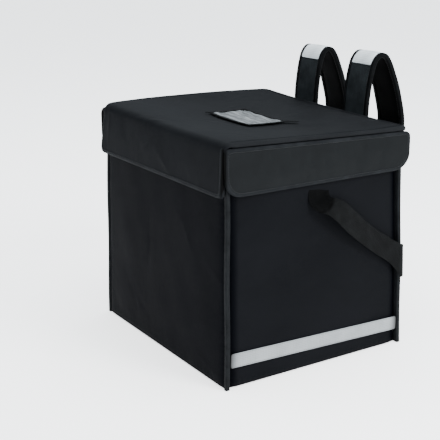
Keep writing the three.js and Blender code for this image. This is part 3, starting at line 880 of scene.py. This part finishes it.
def build_lid():
    """The lid's top and front flap: one padded cloth that turns down over a soft fold."""
    piece = lid_cloth()
    thickened(piece, LID_PADDING)
    swollen(piece, LID_RISE, slack=LID_SLACK)
    softened(piece, 2)
    flat = kept(piece, "flat")
    u, v = flat[:, 0], flat[:, 1]
    width = LID[1].x - LID[0].x
    start = LID[0].y + LID_FOLD
    skin = kept(piece, "skin")
    rows = points(piece)
    rows[(skin < 0.5) & (v > start), 2] -= LID_UNDER
    set_points(piece, rows)
    edge = np.minimum.reduce([width / 2 - np.abs(u), LID[1].y - v, v - v.min()])
    soft = waves(u, v, 21, count=10, shortest=80 * MM, longest=400 * MM, height=1.3 * MM)
    soft += creases(u, v, 22, count=40, length=50 * MM, width=7 * MM, height=0.8 * MM)
    # The lid's bound edge: a seam just inside it at both ends and the back, and none on the flap
    from_hem = np.where(v < start, 1, np.minimum(width / 2 - np.abs(u), LID[1].y - v)) - LID_HEM
    raised(piece, part_way(edge, 0, LID_FADE) * soft - LID_HEM_DEPTH * hump(from_hem, LID_HEM_WIDTH))
    # Painted shade: dark along the hem's channel, darker over the far left corner and down the hanging front
    # flap, where less light falls
    far_shade_share = np.clip(0.5 - u / width, 0, 1) * part_way(v, LID[0].y, LID[1].y - LID[0].y)
    hanging_shade_share = part_way(start - v, 0, LID_FOLD)
    painted_shades = (HEM_PAINTED_SHADE * hump(from_hem, HEM_PAINTED_SHADE_WIDTH), FAR_PAINTED_SHADE * far_shade_share, HANGING_PAINTED_SHADE * hanging_shade_share)
    keep(piece, "painted_shade", np.maximum.reduce(painted_shades) * skin)
    finished(piece, LID_CLOTH_PAINTED_LIGHT, "panel_fabric", "lid_panel", "lid_flap_front")


# Flaps: radius of the side flaps' lower and upper corners and of the front flap's lower ones, and their steps
FLAP_CORNER = 28 * MM
FLAP_TOP_CORNER = 6 * MM
FRONT_FLAP_CORNER = 9 * MM
CORNER_STEPS = 7
# A side flap's pad: how much smaller and thinner it is than the flap, how deep it lies, and its swell
PAD_SMALLER = 3 * MM
PAD_THINNER = 2 * MM
PAD_DEPTH = 1.2 * MM
PAD_RISE = 3 * MM


def flap_outline(width, height, low, top, inset):
    """A line round a flap's edge in XY, from the middle of its top, closed."""
    right, upper = width / 2 - inset, height / 2 - inset
    corners = (
        (right - top, upper - top, top, 90),
        (right - low, -upper + low, low, 0),
        (-right + low, -upper + low, low, -90),
        (-right + top, upper - top, top, -180),
    )
    outline = [(0, upper)]
    for x, y, radius, start in corners:
        for step in range(CORNER_STEPS + 1):
            angle = math.radians(start - 90 * step / CORNER_STEPS)
            outline.append((x + radius * math.cos(angle), y + radius * math.sin(angle)))
    outline.append((0, upper))
    return np.array(outline)


def even_line(outline, spacing):
    """The same line with its places at even distances."""
    at = distances(outline)
    wanted = np.linspace(0, at[-1], max(2, round(at[-1] / spacing)))
    return read_at(wanted, at, outline)


def flat_line(outline, closed):
    """Line along an outline in XY that runs clockwise. Across points outwards in its plane, and out is up."""
    outline = even_line(outline, TAPE_SPACING)
    forward = heading(outline)
    if closed:
        forward[0] = forward[-1] = (1, 0)
    across = np.stack([-forward[:, 1], forward[:, 0], 0 * forward[:, 0]], axis=1)
    places = np.column_stack([outline, np.zeros(len(outline))])
    return Line(places, across, np.tile((0, 0, 1.0), (len(places), 1)))


def folded_tape(name, line, width, thickness, closed=True):
    """Binding tape folded over an edge: a rounded band as thick as what it wraps."""
    piece = strip(name, line.length, width, thickness, 3.2 * MM)
    laid_along(piece, line)
    if closed:
        edited(piece, bpy.ops.mesh.remove_doubles, threshold=0.2 * MM)
    softened(piece, 1)
    return piece


def slit_painted_shade(tape, width):
    """Paints shade on a flap's tape where its upright ends face the slit between two flaps."""
    from_end = width / 2 - np.abs(points(tape)[:, 0])
    keep(tape, "painted_shade", np.clip(1.1 - from_end / SLIT_PAINTED_SHADE_FADE, 0, 1))


def side_flap_pad(side, width, height, thickness, seed):
    """A side flap's padded cloth, lying in XY, whose edges run in under its tape."""
    pad_width, pad_height = width - PAD_SMALLER, height - PAD_SMALLER
    pad = cloth_grid(f"side_flap_{side}", pad_width, pad_height, 8 * MM)
    rounded_corners(pad, pad_width, pad_height, FLAP_CORNER, FLAP_TOP_CORNER)
    rows = points(pad)
    rows[:, 2] = thickness - PAD_DEPTH
    set_points(pad, rows)
    keep(pad, "flat", rows)
    thickened(pad, thickness - PAD_THINNER)
    swollen(pad, PAD_RISE)
    softened(pad, 2)
    flat = kept(pad, "flat")
    u, v = flat[:, 0], flat[:, 1]
    soft = waves(u, v, seed, count=8, shortest=50 * MM, longest=300 * MM, height=0.9 * MM)
    soft += creases(u, v, 32, count=10, length=30 * MM, width=7 * MM, height=0.5 * MM)
    distance_in, _ = box_distance(u, v, width / 2, height / 2)
    raised(pad, part_way(distance_in, SEAM, 10 * MM) * soft)
    return pad


def build_side_flaps():
    """The two side flaps, sewn on under the lid's edge, each bound all round."""
    low, high = SIDE_FLAP
    width, height = high.y - low.y, high.z - low.z
    thickness = high.x - low.x
    shape = (width, height, FLAP_CORNER, FLAP_TOP_CORNER)
    edge = flat_line(flap_outline(*shape, TAPE_WIDTH / 2), closed=True)
    seam = flat_line(flap_outline(*shape, TAPE_WIDTH - TAPE_SEAM), closed=True)
    for side, azimuth, seed in (("right", 90, 121), ("left", 270, 301)):
        shift = Matrix.Translation((0, (low.y + high.y) / 2, 0))
        stand = shift @ facing(azimuth, low.x, (low.z + high.z) / 2)
        pad = side_flap_pad(side, width, height, thickness, seed)
        placed(pad, stand)
        finished(pad, FLAP_CLOTH_PAINTED_LIGHT, "panel_fabric", f"lid_flap_{side}")
        tape = folded_tape(f"side_flap_tape_{side}", edge, TAPE_WIDTH, thickness)
        slit_painted_shade(tape, width)
        placed(tape, stand)
        finished(tape, TAPE, "binding_tape", f"lid_flap_{side}_tape")
        row = stitches(f"side_flap_stitching_{side}", [(seam, 0, seam.length, 0, thickness + 0.15 * MM)])
        placed(row, stand)
        finished(row, THREAD, "binding_tape")


def build_front_tape():
    """The front flap's tape: down its sides and along its lower edge."""
    low, high = FRONT_FLAP
    width, height = high.x - low.x, high.z - low.z
    thickness = high.y - low.y
    inset = TAPE_WIDTH / 2
    outline = flap_outline(width, height, FRONT_FLAP_CORNER, 2 * MM, inset)
    top_right = np.array([(width / 2 - inset, height / 2)])
    top_left = np.array([(-width / 2 + inset, height / 2)])
    corner_places = CORNER_STEPS + 1
    lower = outline[1 + corner_places: 1 + 3 * corner_places]
    line = flat_line(np.concatenate([top_right, lower, top_left]), closed=False)
    tape = folded_tape("front_flap_tape", line, TAPE_WIDTH, thickness, closed=False)
    slit_painted_shade(tape, width)
    stand = facing(0, -high.y, (low.z + high.z) / 2)
    placed(tape, stand)
    finished(tape, TAPE, "binding_tape", "lid_flap_front_tape")
    row = stitches(
        "front_flap_stitching",
        [(line, SEAM, line.length - SEAM, TAPE_SEAM - inset, thickness + 0.1 * MM)],
    )
    placed(row, stand)
    finished(row, THREAD, "binding_tape")


# The card pocket: how far its border laps over the sheet, the thickness of the border's tape, how much higher
# each strip of it lies than the one before, and how deep the pocket lies in the lid's cloth
POCKET_OVERLAP = 4 * MM
POCKET_TAPE = 1.2 * MM
POCKET_STEP = 0.12 * MM
POCKET_SINK = 1 * MM
# The part of the lid's cloth that is taken as its top
LID_TOP_DEPTH = 22 * MM


def build_card_pocket():
    """The card pocket: wavy clear sheet under a stitched cloth border."""
    low, high = POCKET
    centre = Vector(((low.x + high.x) / 2, (low.y + high.y) / 2, high.z))
    sheet_low, sheet_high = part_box("card_window")
    width, height = sheet_high.x - sheet_low.x, sheet_high.y - sheet_low.y
    sheet = cloth_grid("card_sheet", width, height, 3 * MM)
    keep(sheet, "flat", points(sheet))
    thickened(sheet, 0.5 * MM)
    flat = kept(sheet, "flat")
    u, v = flat[:, 0], flat[:, 1]
    distance_in, _ = box_distance(u, v, width / 2, height / 2)
    inside = part_way(distance_in, 0, 7 * MM)
    wavy = waves(u, v, 41, count=8, shortest=11 * MM, longest=36 * MM, height=1.9 * MM, lean=1.3)
    rows = points(sheet)
    rows[:, 2] += inside * (wavy + 1.4 * MM)
    set_points(sheet, rows)
    softened(sheet, 1)
    placed(sheet, Matrix.Translation(centre - Vector((0, 0, 1.2 * MM))))
    drape_on_lid(sheet)
    finished(sheet, VINYL_PAINTED_REFLECTION, "clear_vinyl", "card_window")
    half_w, half_h = (high.x - low.x) / 2, (high.y - low.y) / 2
    band = half_w - (width / 2 - POCKET_OVERLAP)
    mid_w, mid_h = half_w - band / 2, half_h - band / 2
    # Four strips of tape, with an end left long at the back right corner and a short one at the front left
    runs = (
        ("front", (-half_w, -mid_h), (half_w, -mid_h), band, 1),
        ("back", (-half_w, mid_h), (half_w, mid_h), band, 1),
        ("left", (-mid_w, -mid_h), (-mid_w, mid_h), band, 1),
        ("right", (mid_w, -mid_h), (mid_w, mid_h), band, 1),
        ("long_end", (mid_w, mid_h), (mid_w + 20 * MM, mid_h + 16 * MM), 14 * MM, 0.5),
        ("short_end", (-mid_w, -mid_h), (-mid_w - 4 * MM, -mid_h - 10 * MM), band, 0.5),
    )
    strips, rows_of = [], []
    out = (0, 0, 1)
    for order, (name, start, end, across_size, tip) in enumerate(runs):
        start, end = np.array((*start, 0.0)), np.array((*end, 0.0))
        forward = (end - start) / np.linalg.norm(end - start)
        across = np.array((-forward[1], forward[0], 0))
        line = Line([start, end], [across, across * tip], [out, out])
        lift = POCKET_STEP * order
        tape = strip(f"card_pocket_{name}", line.length, across_size, POCKET_TAPE, 3 * MM, low=lift)
        laid_along(tape, line)
        strips.append(tape)
        if tip == 1:
            rows_of.append((line, band, line.length - band, 0, POCKET_TAPE + 0.1 * MM + lift))
    border = joined(strips, "card_pocket_border")
    softened(border, 1)
    row = stitches("card_pocket_stitching", rows_of)
    for piece, material, nodes in ((border, EDGE_TAPE, ["card_border"]), (row, THREAD, [])):
        placed(piece, Matrix.Translation(centre - Vector((0, 0, POCKET_SINK))))
        drape_on_lid(piece)
        finished(piece, material, "binding_tape", *nodes)


def bowl_terms(x, y):
    """The terms of a shallow bowl over the lid: level, slopes, twist and curves."""
    return np.column_stack([np.ones(len(x)), x, y, x * y, x**2, y**2])


def drape_on_lid(piece):
    """Lets a flat piece lie on the lid's top, wherever the lid's cloth has come to rest."""
    lid = points(bpy.data.objects["lid_cover"])
    top = lid[lid[:, 2] > lid_top - LID_TOP_DEPTH]
    rows = points(piece)
    low, high = rows[:, :2].min(0) - CELL, rows[:, :2].max(0) + CELL
    near = top[np.all((top[:, :2] > low) & (top[:, :2] < high), axis=1)]
    skin = near[near[:, 2] > np.median(near[:, 2])] if len(near) else top
    shape = np.linalg.lstsq(bowl_terms(skin[:, 0], skin[:, 1]), skin[:, 2], rcond=None)[0]
    rows[:, 2] += bowl_terms(rows[:, 0], rows[:, 1]) @ shape - lid_top + POCKET_SINK
    set_points(piece, rows)


# Side strips: slope in degrees, how far out they lie on the swollen cloth, their seam's distance in from the
# edge, and how far in from their ends painted shade reaches
STRIP_TILT = 1.7
STRIP_OUT = 2.6 * MM
STRIP_SEAM = 2.2 * MM
STRIP_PAINTED_SHADE_FADE = 14 * MM


def build_side_strips():
    """Reflective strips near the base of the side walls, stitched along both edges."""
    low, high = STRIP
    length = high.y - low.y
    tilt = math.radians(STRIP_TILT)
    width = (high.z - low.z - length * math.sin(tilt)) / math.cos(tilt)
    middle = straight((0, 0, 0), (length, 0, 0), (0, 1, 0), (0, 0, 1))
    seam = width / 2 - STRIP_SEAM
    for side, azimuth, sign in (("right", 90, -1), ("left", 270, 1)):
        piece = strip(f"side_strip_band_{side}", length, width, 0.7 * MM, 6.5 * MM)
        rows_of = [(middle, 1 * MM, length - 1 * MM, offset, 0.8 * MM) for offset in (-seam, seam)]
        row = stitches(f"side_strip_stitching_{side}", rows_of)
        along = points(piece)[:, 0]
        from_end = np.minimum(along, length - along)
        # Painted shade, darkest at the strip's ends
        keep(piece, "painted_shade", np.clip(1.1 - from_end / STRIP_PAINTED_SHADE_FADE, 0, 1))
        softened(piece, 1)
        lying = Matrix.Rotation(sign * tilt, 4, "Z") @ Matrix.Translation((-length / 2, 0, 0))
        stand = facing(azimuth, low.x + STRIP_OUT, (low.z + high.z) / 2)
        for item in (piece, row):
            placed(item, stand @ lying)
        finished(piece, STRIP_REFLECTIVE_PAINTED_DARKER, "reflective_tape", f"side_strip_{side}")
        finished(row, THREAD, "reflective_tape")


# Shoulder straps, as in the frame
STRAP_REACH = 75.5 * MM
STRAP_RISE = 112 * MM
STRAP_THICKNESS = 9 * MM
STRAP_WIDTH = 69 * MM
STRAP_SPACING = 160 * MM
STRAP_OFF = 0.3 * MM
STRAP_EDGE = 7.5 * MM
# Middle line, as shares of the reach out from the back and of a height: of the walls' for the sewn end, the
# hanging part and the tail, and of the arch's own over the walls
SEWN = ((0, 0.74), (0, 0.86), (0, 0.96))
ARCH = (
    (0.008, 0.235),
    (0.045, 0.52),
    (0.1, 0.755),
    (0.175, 0.915),
    (0.3, 1),
    (0.45, 0.985),
    (0.59, 0.865),
    (0.71, 0.69),
    (0.84, 0.475),
    (0.965, 0.21),
)
HANGING = ((1.06, 0.988), (1.075, 0.939), (1.02, 0.866), (0.9, 0.793))
TAIL = ((0.755, 0.732), (0.629, 0.671), (0.497, 0.598))
# Where along the strap its reflective band starts and ends
BAND = (0.375, 0.479)
BAND_THICKNESS = 0.7 * MM
# Where the strap widens along its length, by what share of its swell, and the swell
SWELL = ((0, 0), (0.47, 0), (0.55, 0.8), (0.64, 1), (0.84, 0.7), (1, 0))
STRAP_SWELL = 2 * MM
# How the limp straps lie: across at the lid's level, across and up at their tops, and how far they reach back
STRAP_LIE = {
    "right": (-8 * MM, -3 * MM, -1 * MM, 1.1),
    "left": (0, 3.4 * MM, -3.5 * MM, 1),
}
STRAP_STILL = 0.25
# The foam pad: how far its faces lie inside the edge tapes', and how much narrower it is than the strap
PAD_INSET = 1.2 * MM
PAD_WIDTH = STRAP_WIDTH - 3 * MM


def smooth_line(knots, spacing):
    """A soft curve through a few places, read at even distances."""
    knots = np.asarray(knots, float)
    gaps = np.sqrt(np.linalg.norm(np.diff(knots, axis=0), axis=1))
    at = np.concatenate(([0], np.cumsum(gaps)))
    slopes = np.gradient(knots, at, axis=0)
    share = np.linspace(0, 1, 24, endpoint=False)[:, None]
    fine = [
        soft_curve(share, knots[i], knots[i + 1], gap * slopes[i], gap * slopes[i + 1])
        for i, gap in enumerate(gaps)
    ]
    return even_line(np.concatenate([*fine, knots[-1:]]), spacing)


def strap_run(x, reach_share):
    """The shoulder strap's middle line at a place across the back, with its outer side out."""
    start = back_face + STRAP_OFF + STRAP_THICKNESS / 2
    full = STRAP_REACH * reach_share
    knots = []
    for rows, reach, base, rise in (
        (SEWN, full, 0, wall_top),
        (ARCH, full, wall_top, STRAP_RISE),
        (HANGING, full, 0, wall_top),
        (TAIL, STRAP_REACH, 0, wall_top),
    ):
        knots += [(x, start + out * reach, base + up * rise) for out, up in rows]
    run = smooth_line(knots, 3 * MM)
    share = np.linspace(0, 1, len(run))
    widening = 1 + np.interp(share, *zip(*SWELL)) * STRAP_SWELL / STRAP_WIDTH
    across = np.array((1.0, 0, 0)) * widening[:, None]
    return Line(run, across, np.cross(across, heading(run)))


def pad_swell(x, y):
    """The pad's round face: a little full in its middle, and drawn down to the tapes at its edges."""
    off = 2 * y / PAD_WIDTH
    return 1.2 * MM * np.sqrt(np.clip(1 - off**4, 0, 1)) - 2.6 * MM * np.abs(off) ** 5


def band_swell(x, y):
    return pad_swell(x, y) - PAD_INSET


def strap_pad(side, sign, line):
    """The strap's foam pad in its mesh, full on both faces, with painted shade over the inner one."""
    low = PAD_INSET - STRAP_THICKNESS / 2
    pad = strip(f"shoulder_pad_{side}", line.length, PAD_WIDTH, -2 * low, 5 * MM, low=low, profile=pad_swell)
    rows = points(pad)
    back = kept(pad, "skin") < 0.5
    rows[back, 2] = -rows[~back, 2]
    flat = kept(pad, "flat")
    rows[:, 2] += waves(
        flat[:, 0], flat[:, 1], 51 + sign, count=8, shortest=30 * MM, longest=120 * MM, height=0.5 * MM
    )
    set_points(pad, rows)
    # Painted shade over the inner face
    keep(pad, "painted_shade", 0.95 * (1 - kept(pad, "skin")))
    softened(pad, 1)
    laid_along(pad, line)
    finished(pad, MESH, "strap_fabric", f"shoulder_strap_{side}")


def strap_edges(side, sign, line):
    """Tapes folded over both edges of the strap, with a row of stitches on either face."""
    rows_of = []
    for edge in (-1, 1):
        name = f"strap_edge_{side}_{'in' if edge * sign < 0 else 'out'}"
        tape = strip(name, line.length, STRAP_EDGE, STRAP_THICKNESS, 2.8 * MM, low=-STRAP_THICKNESS / 2)
        rows = points(tape)
        rows[:, 1] += edge * (STRAP_WIDTH / 2 - STRAP_EDGE / 2)
        set_points(tape, rows)
        softened(tape, 1)
        laid_along(tape, line)
        finished(tape, EDGE_TAPE, "binding_tape")
        seam = edge * (STRAP_WIDTH / 2 - STRAP_EDGE + 1 * MM)
        for face in (-1, 1):
            rows_of.append((line, 2 * MM, line.length - 2 * MM, seam, face * STRAP_THICKNESS / 2))
    row = stitches(f"strap_stitching_{side}", rows_of)
    finished(row, THREAD, "binding_tape")


def strap_band(side, line):
    """The reflective band over the strap's top, between its edge tapes."""
    start, end = (share * line.length for share in BAND)
    width = STRAP_WIDTH - 2 * STRAP_EDGE
    low = STRAP_THICKNESS / 2 + 0.1 * MM
    band = strip(f"strap_band_cover_{side}", end - start, width, BAND_THICKNESS, 4 * MM, low, band_swell)
    rows = points(band)
    back = kept(band, "skin") < 0.5
    rows[back, 2] = rows[~back, 2] - BAND_THICKNESS
    rows[:, 0] += start
    set_points(band, rows)
    softened(band, 1)
    laid_along(band, line)
    finished(band, REFLECTIVE, "reflective_tape", f"strap_band_{side}")


def build_shoulder_straps():
    """Padded straps with bound edges and a reflective band over the top of each."""
    for side, sign in (("right", 1), ("left", -1)):
        line = strap_run(sign * STRAP_SPACING / 2, STRAP_LIE[side][3])
        strap_pad(side, sign, line)
        strap_edges(side, sign, line)
        strap_band(side, line)


def node_copy(node, name):
    """A copy of a frame node's mesh, merged, to be worked on."""
    source = frame["nodes"][node]
    piece = bpy.data.objects.new(name, source.data.copy())
    bpy.context.scene.collection.objects.link(piece)
    piece.data.name = name
    edited(piece, bpy.ops.mesh.remove_doubles, threshold=0.01 * MM)
    return piece


# The carry strap, as in the frame, with its furthest stand-off and its radius round the corner
CARRY_WIDTH = 45 * MM
CARRY_THICKNESS = 2.5 * MM
CARRY_GAP = 0.3 * MM
CARRY_OFF = 23 * MM
CARRY_TURN = 8 * MM
# The painted curl under a flap, a ring of painted shade: its place from the strap's end, and its size
CARRY_PAINTED_CURL = 52 * MM
CARRY_PAINTED_CURL_SIZE = 21 * MM
# Its middle, as in the frame. A row has the share of the way to the back corner (from there on to the back's
# middle at 2), the share of the walls' height, the lean in degrees, the widening, and its edges' stand-off
CARRY_ROWS = (
    (-0.003, 0.86, 0, 1, 0, 0),
    (-0.003, 0.79, 0, 1, 0, 0),
    (-0.003, 0.744, 15, 1, 0.24, 0.11),
    (0.026, 0.722, 30, 0.86, 0.66, 0.32),
    (0.09, 0.713, 42, 0.78, 0.94, 0.54),
    (0.186, 0.684, 49, 0.86, 1, 0.68),
    (0.323, 0.628, 64, 0.92, 0.86, 0.66),
    (0.473, 0.572, 84, 1.02, 0.66, 0.6),
    (0.622, 0.52, 90, 1.04, 0.52, 0.5),
    (0.83, 0.456, 90, 1.08, 0.36, 0.36),
    (1, 0.39, 90, 1.4, 0.34, 0.34),
    (1.171, 0.335, 90, 1.35, 0.16, 0.16),
    (1.41, 0.288, 90, 1.08, 0.02, 0.02),
    (1.648, 0.244, 90, 1.04, 0, 0),
    (1.886, 0.222, 90, 1, 0, 0),
    (2, 0.217, 90, 1, 0, 0),
)


def round_the_bag(distance, height, off):
    """Places by distance round from the middle of the right wall, height and stand-off."""
    stand = CARRY_GAP + CARRY_THICKNESS / 2 + np.maximum(off, 0) * CARRY_OFF
    turn_start = back_face - CARRY_TURN
    turned = part_way(distance, turn_start, 2 * CARRY_TURN) * math.pi / 2
    past = np.maximum(distance - back_face - CARRY_TURN, 0)
    x = side_face - CARRY_TURN + (CARRY_TURN + stand) * np.cos(turned) - past
    y = turn_start + (CARRY_TURN + stand) * np.sin(turned) + np.minimum(distance - turn_start, 0)
    return np.stack([x, y, height], axis=1)


def carry_edge(side):
    """Knots of the strap's lower or upper edge, -1 or 1: distance round the bag, height and stand-off."""
    knots = []
    for along, up, lean, widen, low_off, high_off in CARRY_ROWS:
        half = side * widen * CARRY_WIDTH / 2
        distance = along * back_face if along <= 1 else back_face + (along - 1) * side_face
        angle = math.radians(lean)
        height = up * wall_top + half * math.sin(angle)
        knots.append((distance + half * math.cos(angle), height, low_off if side < 0 else high_off))
    return np.array(knots)


def carry_run():
    """The carry strap's line from its right end to its left, with edges as wide as the strap lies."""
    edges = []
    mirrored = np.array((-1, 1, 1))
    for side in (-1, 1):
        knots = carry_edge(side)
        fine = np.linspace(0, len(knots) - 1, 12 * (len(knots) - 1) + 1)
        slopes = np.gradient(knots, axis=0)
        low = np.minimum(fine.astype(int), len(knots) - 2)
        share = (fine - low)[:, None]
        curve = soft_curve(share, knots[low], knots[low + 1], slopes[low], slopes[low + 1])
        edge = round_the_bag(*curve.T)
        edges.append(np.concatenate([edge, (edge * mirrored)[-2::-1]]))
    low, high = edges
    places = (low + high) / 2
    across = (high - low) / CARRY_WIDTH
    return Line(places, across, np.cross(np.gradient(places, axis=0), across))


def selvedge(x, y):
    """The thicker woven edges of the webbing."""
    return 0.35 * MM * hump(np.abs(2 * y / CARRY_WIDTH) - 0.93, 0.05)


def build_carry_strap():
    """The webbing strap that runs from under both side flaps round the back."""
    line = carry_run()
    thickness = CARRY_THICKNESS * 0.8
    piece = strip("carry_webbing", line.length, CARRY_WIDTH, thickness, 4.5 * MM, -thickness / 2, selvedge)
    # Painted shade: a dark rim and a darker, streaked hollow under each side flap stand in for the curl's
    # shadow
    flat = kept(piece, "flat")
    end = np.minimum(flat[:, 0], line.length - flat[:, 0])
    painted_curl_reach = np.hypot(np.maximum(end - CARRY_PAINTED_CURL, 0), flat[:, 1] / 1.4) / CARRY_PAINTED_CURL_SIZE
    rim = hump(painted_curl_reach - 0.95, 0.14) * (end > CARRY_PAINTED_CURL - 8 * MM)
    inside = np.clip((1.05 - painted_curl_reach) / 0.3, 0, 1) * (0.68 + 0.1 * np.sin(flat[:, 1] / (1.6 * MM)))
    keep(piece, "painted_shade", np.maximum(0.95 * rim, inside))
    softened(piece, 1)
    laid_along(piece, line)
    finished(piece, WEBBING, "webbing", "carry_strap")


def build_lower_webbing():
    """Adjusters, tabs and lower webbing: the frame's own shapes, softened where they are cloth."""
    for side in ("right", "left"):
        for part, slot, material in (
            (f"strap_tab_{side}", "webbing", WEBBING),
            (f"strap_webbing_{side}", "webbing", WEBBING),
            (f"strap_adjuster_{side}", "black_plastic", PLASTIC),
        ):
            piece = node_copy(part, f"{part}_dressed")
            rows = points(piece)
            keep(piece, "flat", np.stack([rows[:, 2], rows[:, 0], rows[:, 1]], axis=1))
            sharp = math.radians(40)
            applied(piece, "BEVEL", width=0.35 * MM, segments=2, limit_method="ANGLE", angle_limit=sharp)
            only(piece)
            bpy.ops.object.shade_smooth_by_angle(angle=math.radians(35))
            finished(piece, material, slot, part)


def bearing(azimuth, height):
    """The direction from the bag to a lamp or the camera. Azimuth 0 is to -Y and 90 to +X."""
    turn, tilt = math.radians(azimuth), math.radians(height)
    return Vector((math.sin(turn) * math.cos(tilt), -math.cos(turn) * math.cos(tilt), math.sin(tilt)))


def build_surround():
    """An even pale surround that is brighter from above."""
    world = bpy.data.worlds.new("studio")
    bpy.context.scene.world = world
    world.use_nodes = True
    nodes, links = world.node_tree.nodes, world.node_tree.links
    background = nodes["Background"]
    background.inputs["Color"].default_value = (0.84, 0.93, 1, 1)
    seen = nodes.new("ShaderNodeTexCoord").outputs["Generated"]
    toward = nodes.new("ShaderNodeVectorMath")
    toward.operation = "DOT_PRODUCT"
    toward.inputs[1].default_value = (0.4, 0.15, 1.0)
    links.new(seen, toward.inputs[0])
    strength = nodes.new("ShaderNodeMapRange")
    for socket, value in (("From Min", -0.5), ("From Max", 1.0), ("To Min", 0.3), ("To Max", 1.9)):
        strength.inputs[socket].default_value = value
    links.new(toward.outputs["Value"], strength.inputs["Value"])
    links.new(strength.outputs["Result"], background.inputs["Strength"])


def build_studio():
    """Plain pale floor, a small key light from the right and a wide soft one from above."""
    bpy.ops.object.select_all(action="DESELECT")
    bpy.ops.mesh.primitive_plane_add(size=60)
    floor = bpy.context.active_object
    floor.name = "floor"
    pale = Finish("floor_paper", roughness=0.9)
    pale.shader.inputs["Base Color"].default_value = (0.92, 0.92, 0.92, 1)
    pale.shader.inputs["Emission Color"].default_value = (1, 1, 1, 1)
    pale.shader.inputs["Emission Strength"].default_value = FLOOR_GLOW
    floor.data.materials.append(pale.material)
    for name, azimuth, height, distance, size, power in (
        ("key", 108, 34, 2.6, 0.8, 75),
        ("top", 90, 86, 3.0, 3.5, 160),
    ):
        light = bpy.data.lights.new(name, "AREA")
        light.energy = power
        light.size = size
        lamp = bpy.data.objects.new(name, light)
        bpy.context.scene.collection.objects.link(lamp)
        away = bearing(azimuth, height)
        lamp.location = Vector((0, 0, 0.25)) + away * distance
        lamp.rotation_euler = away.to_track_quat("Z", "Y").to_euler()


def build_camera():
    data = bpy.data.cameras.new("camera")
    camera = bpy.data.objects.new("camera", data)
    bpy.context.scene.collection.objects.link(camera)
    data.lens = CAMERA_LENS
    data.sensor_width = 36
    away = bearing(CAMERA_AZIMUTH, CAMERA_HEIGHT)
    camera.location = CAMERA_TARGET + away * CAMERA_DISTANCE
    roll = Matrix.Rotation(math.radians(CAMERA_ROLL), 4, "Z").to_quaternion()
    camera.rotation_euler = (away.to_track_quat("Z", "Y") @ roll).to_euler()
    bpy.context.scene.camera = camera


build_camera()
build_surround()
build_studio()
build_walls()
build_base()
build_ribs()
build_lid()
build_side_flaps()
build_front_tape()
build_card_pocket()
build_side_strips()
build_shoulder_straps()
build_carry_strap()
build_lower_webbing()

for piece in list(bpy.data.objects):
    if piece.type == "MESH" and piece.get("dressed"):
        settled(piece)
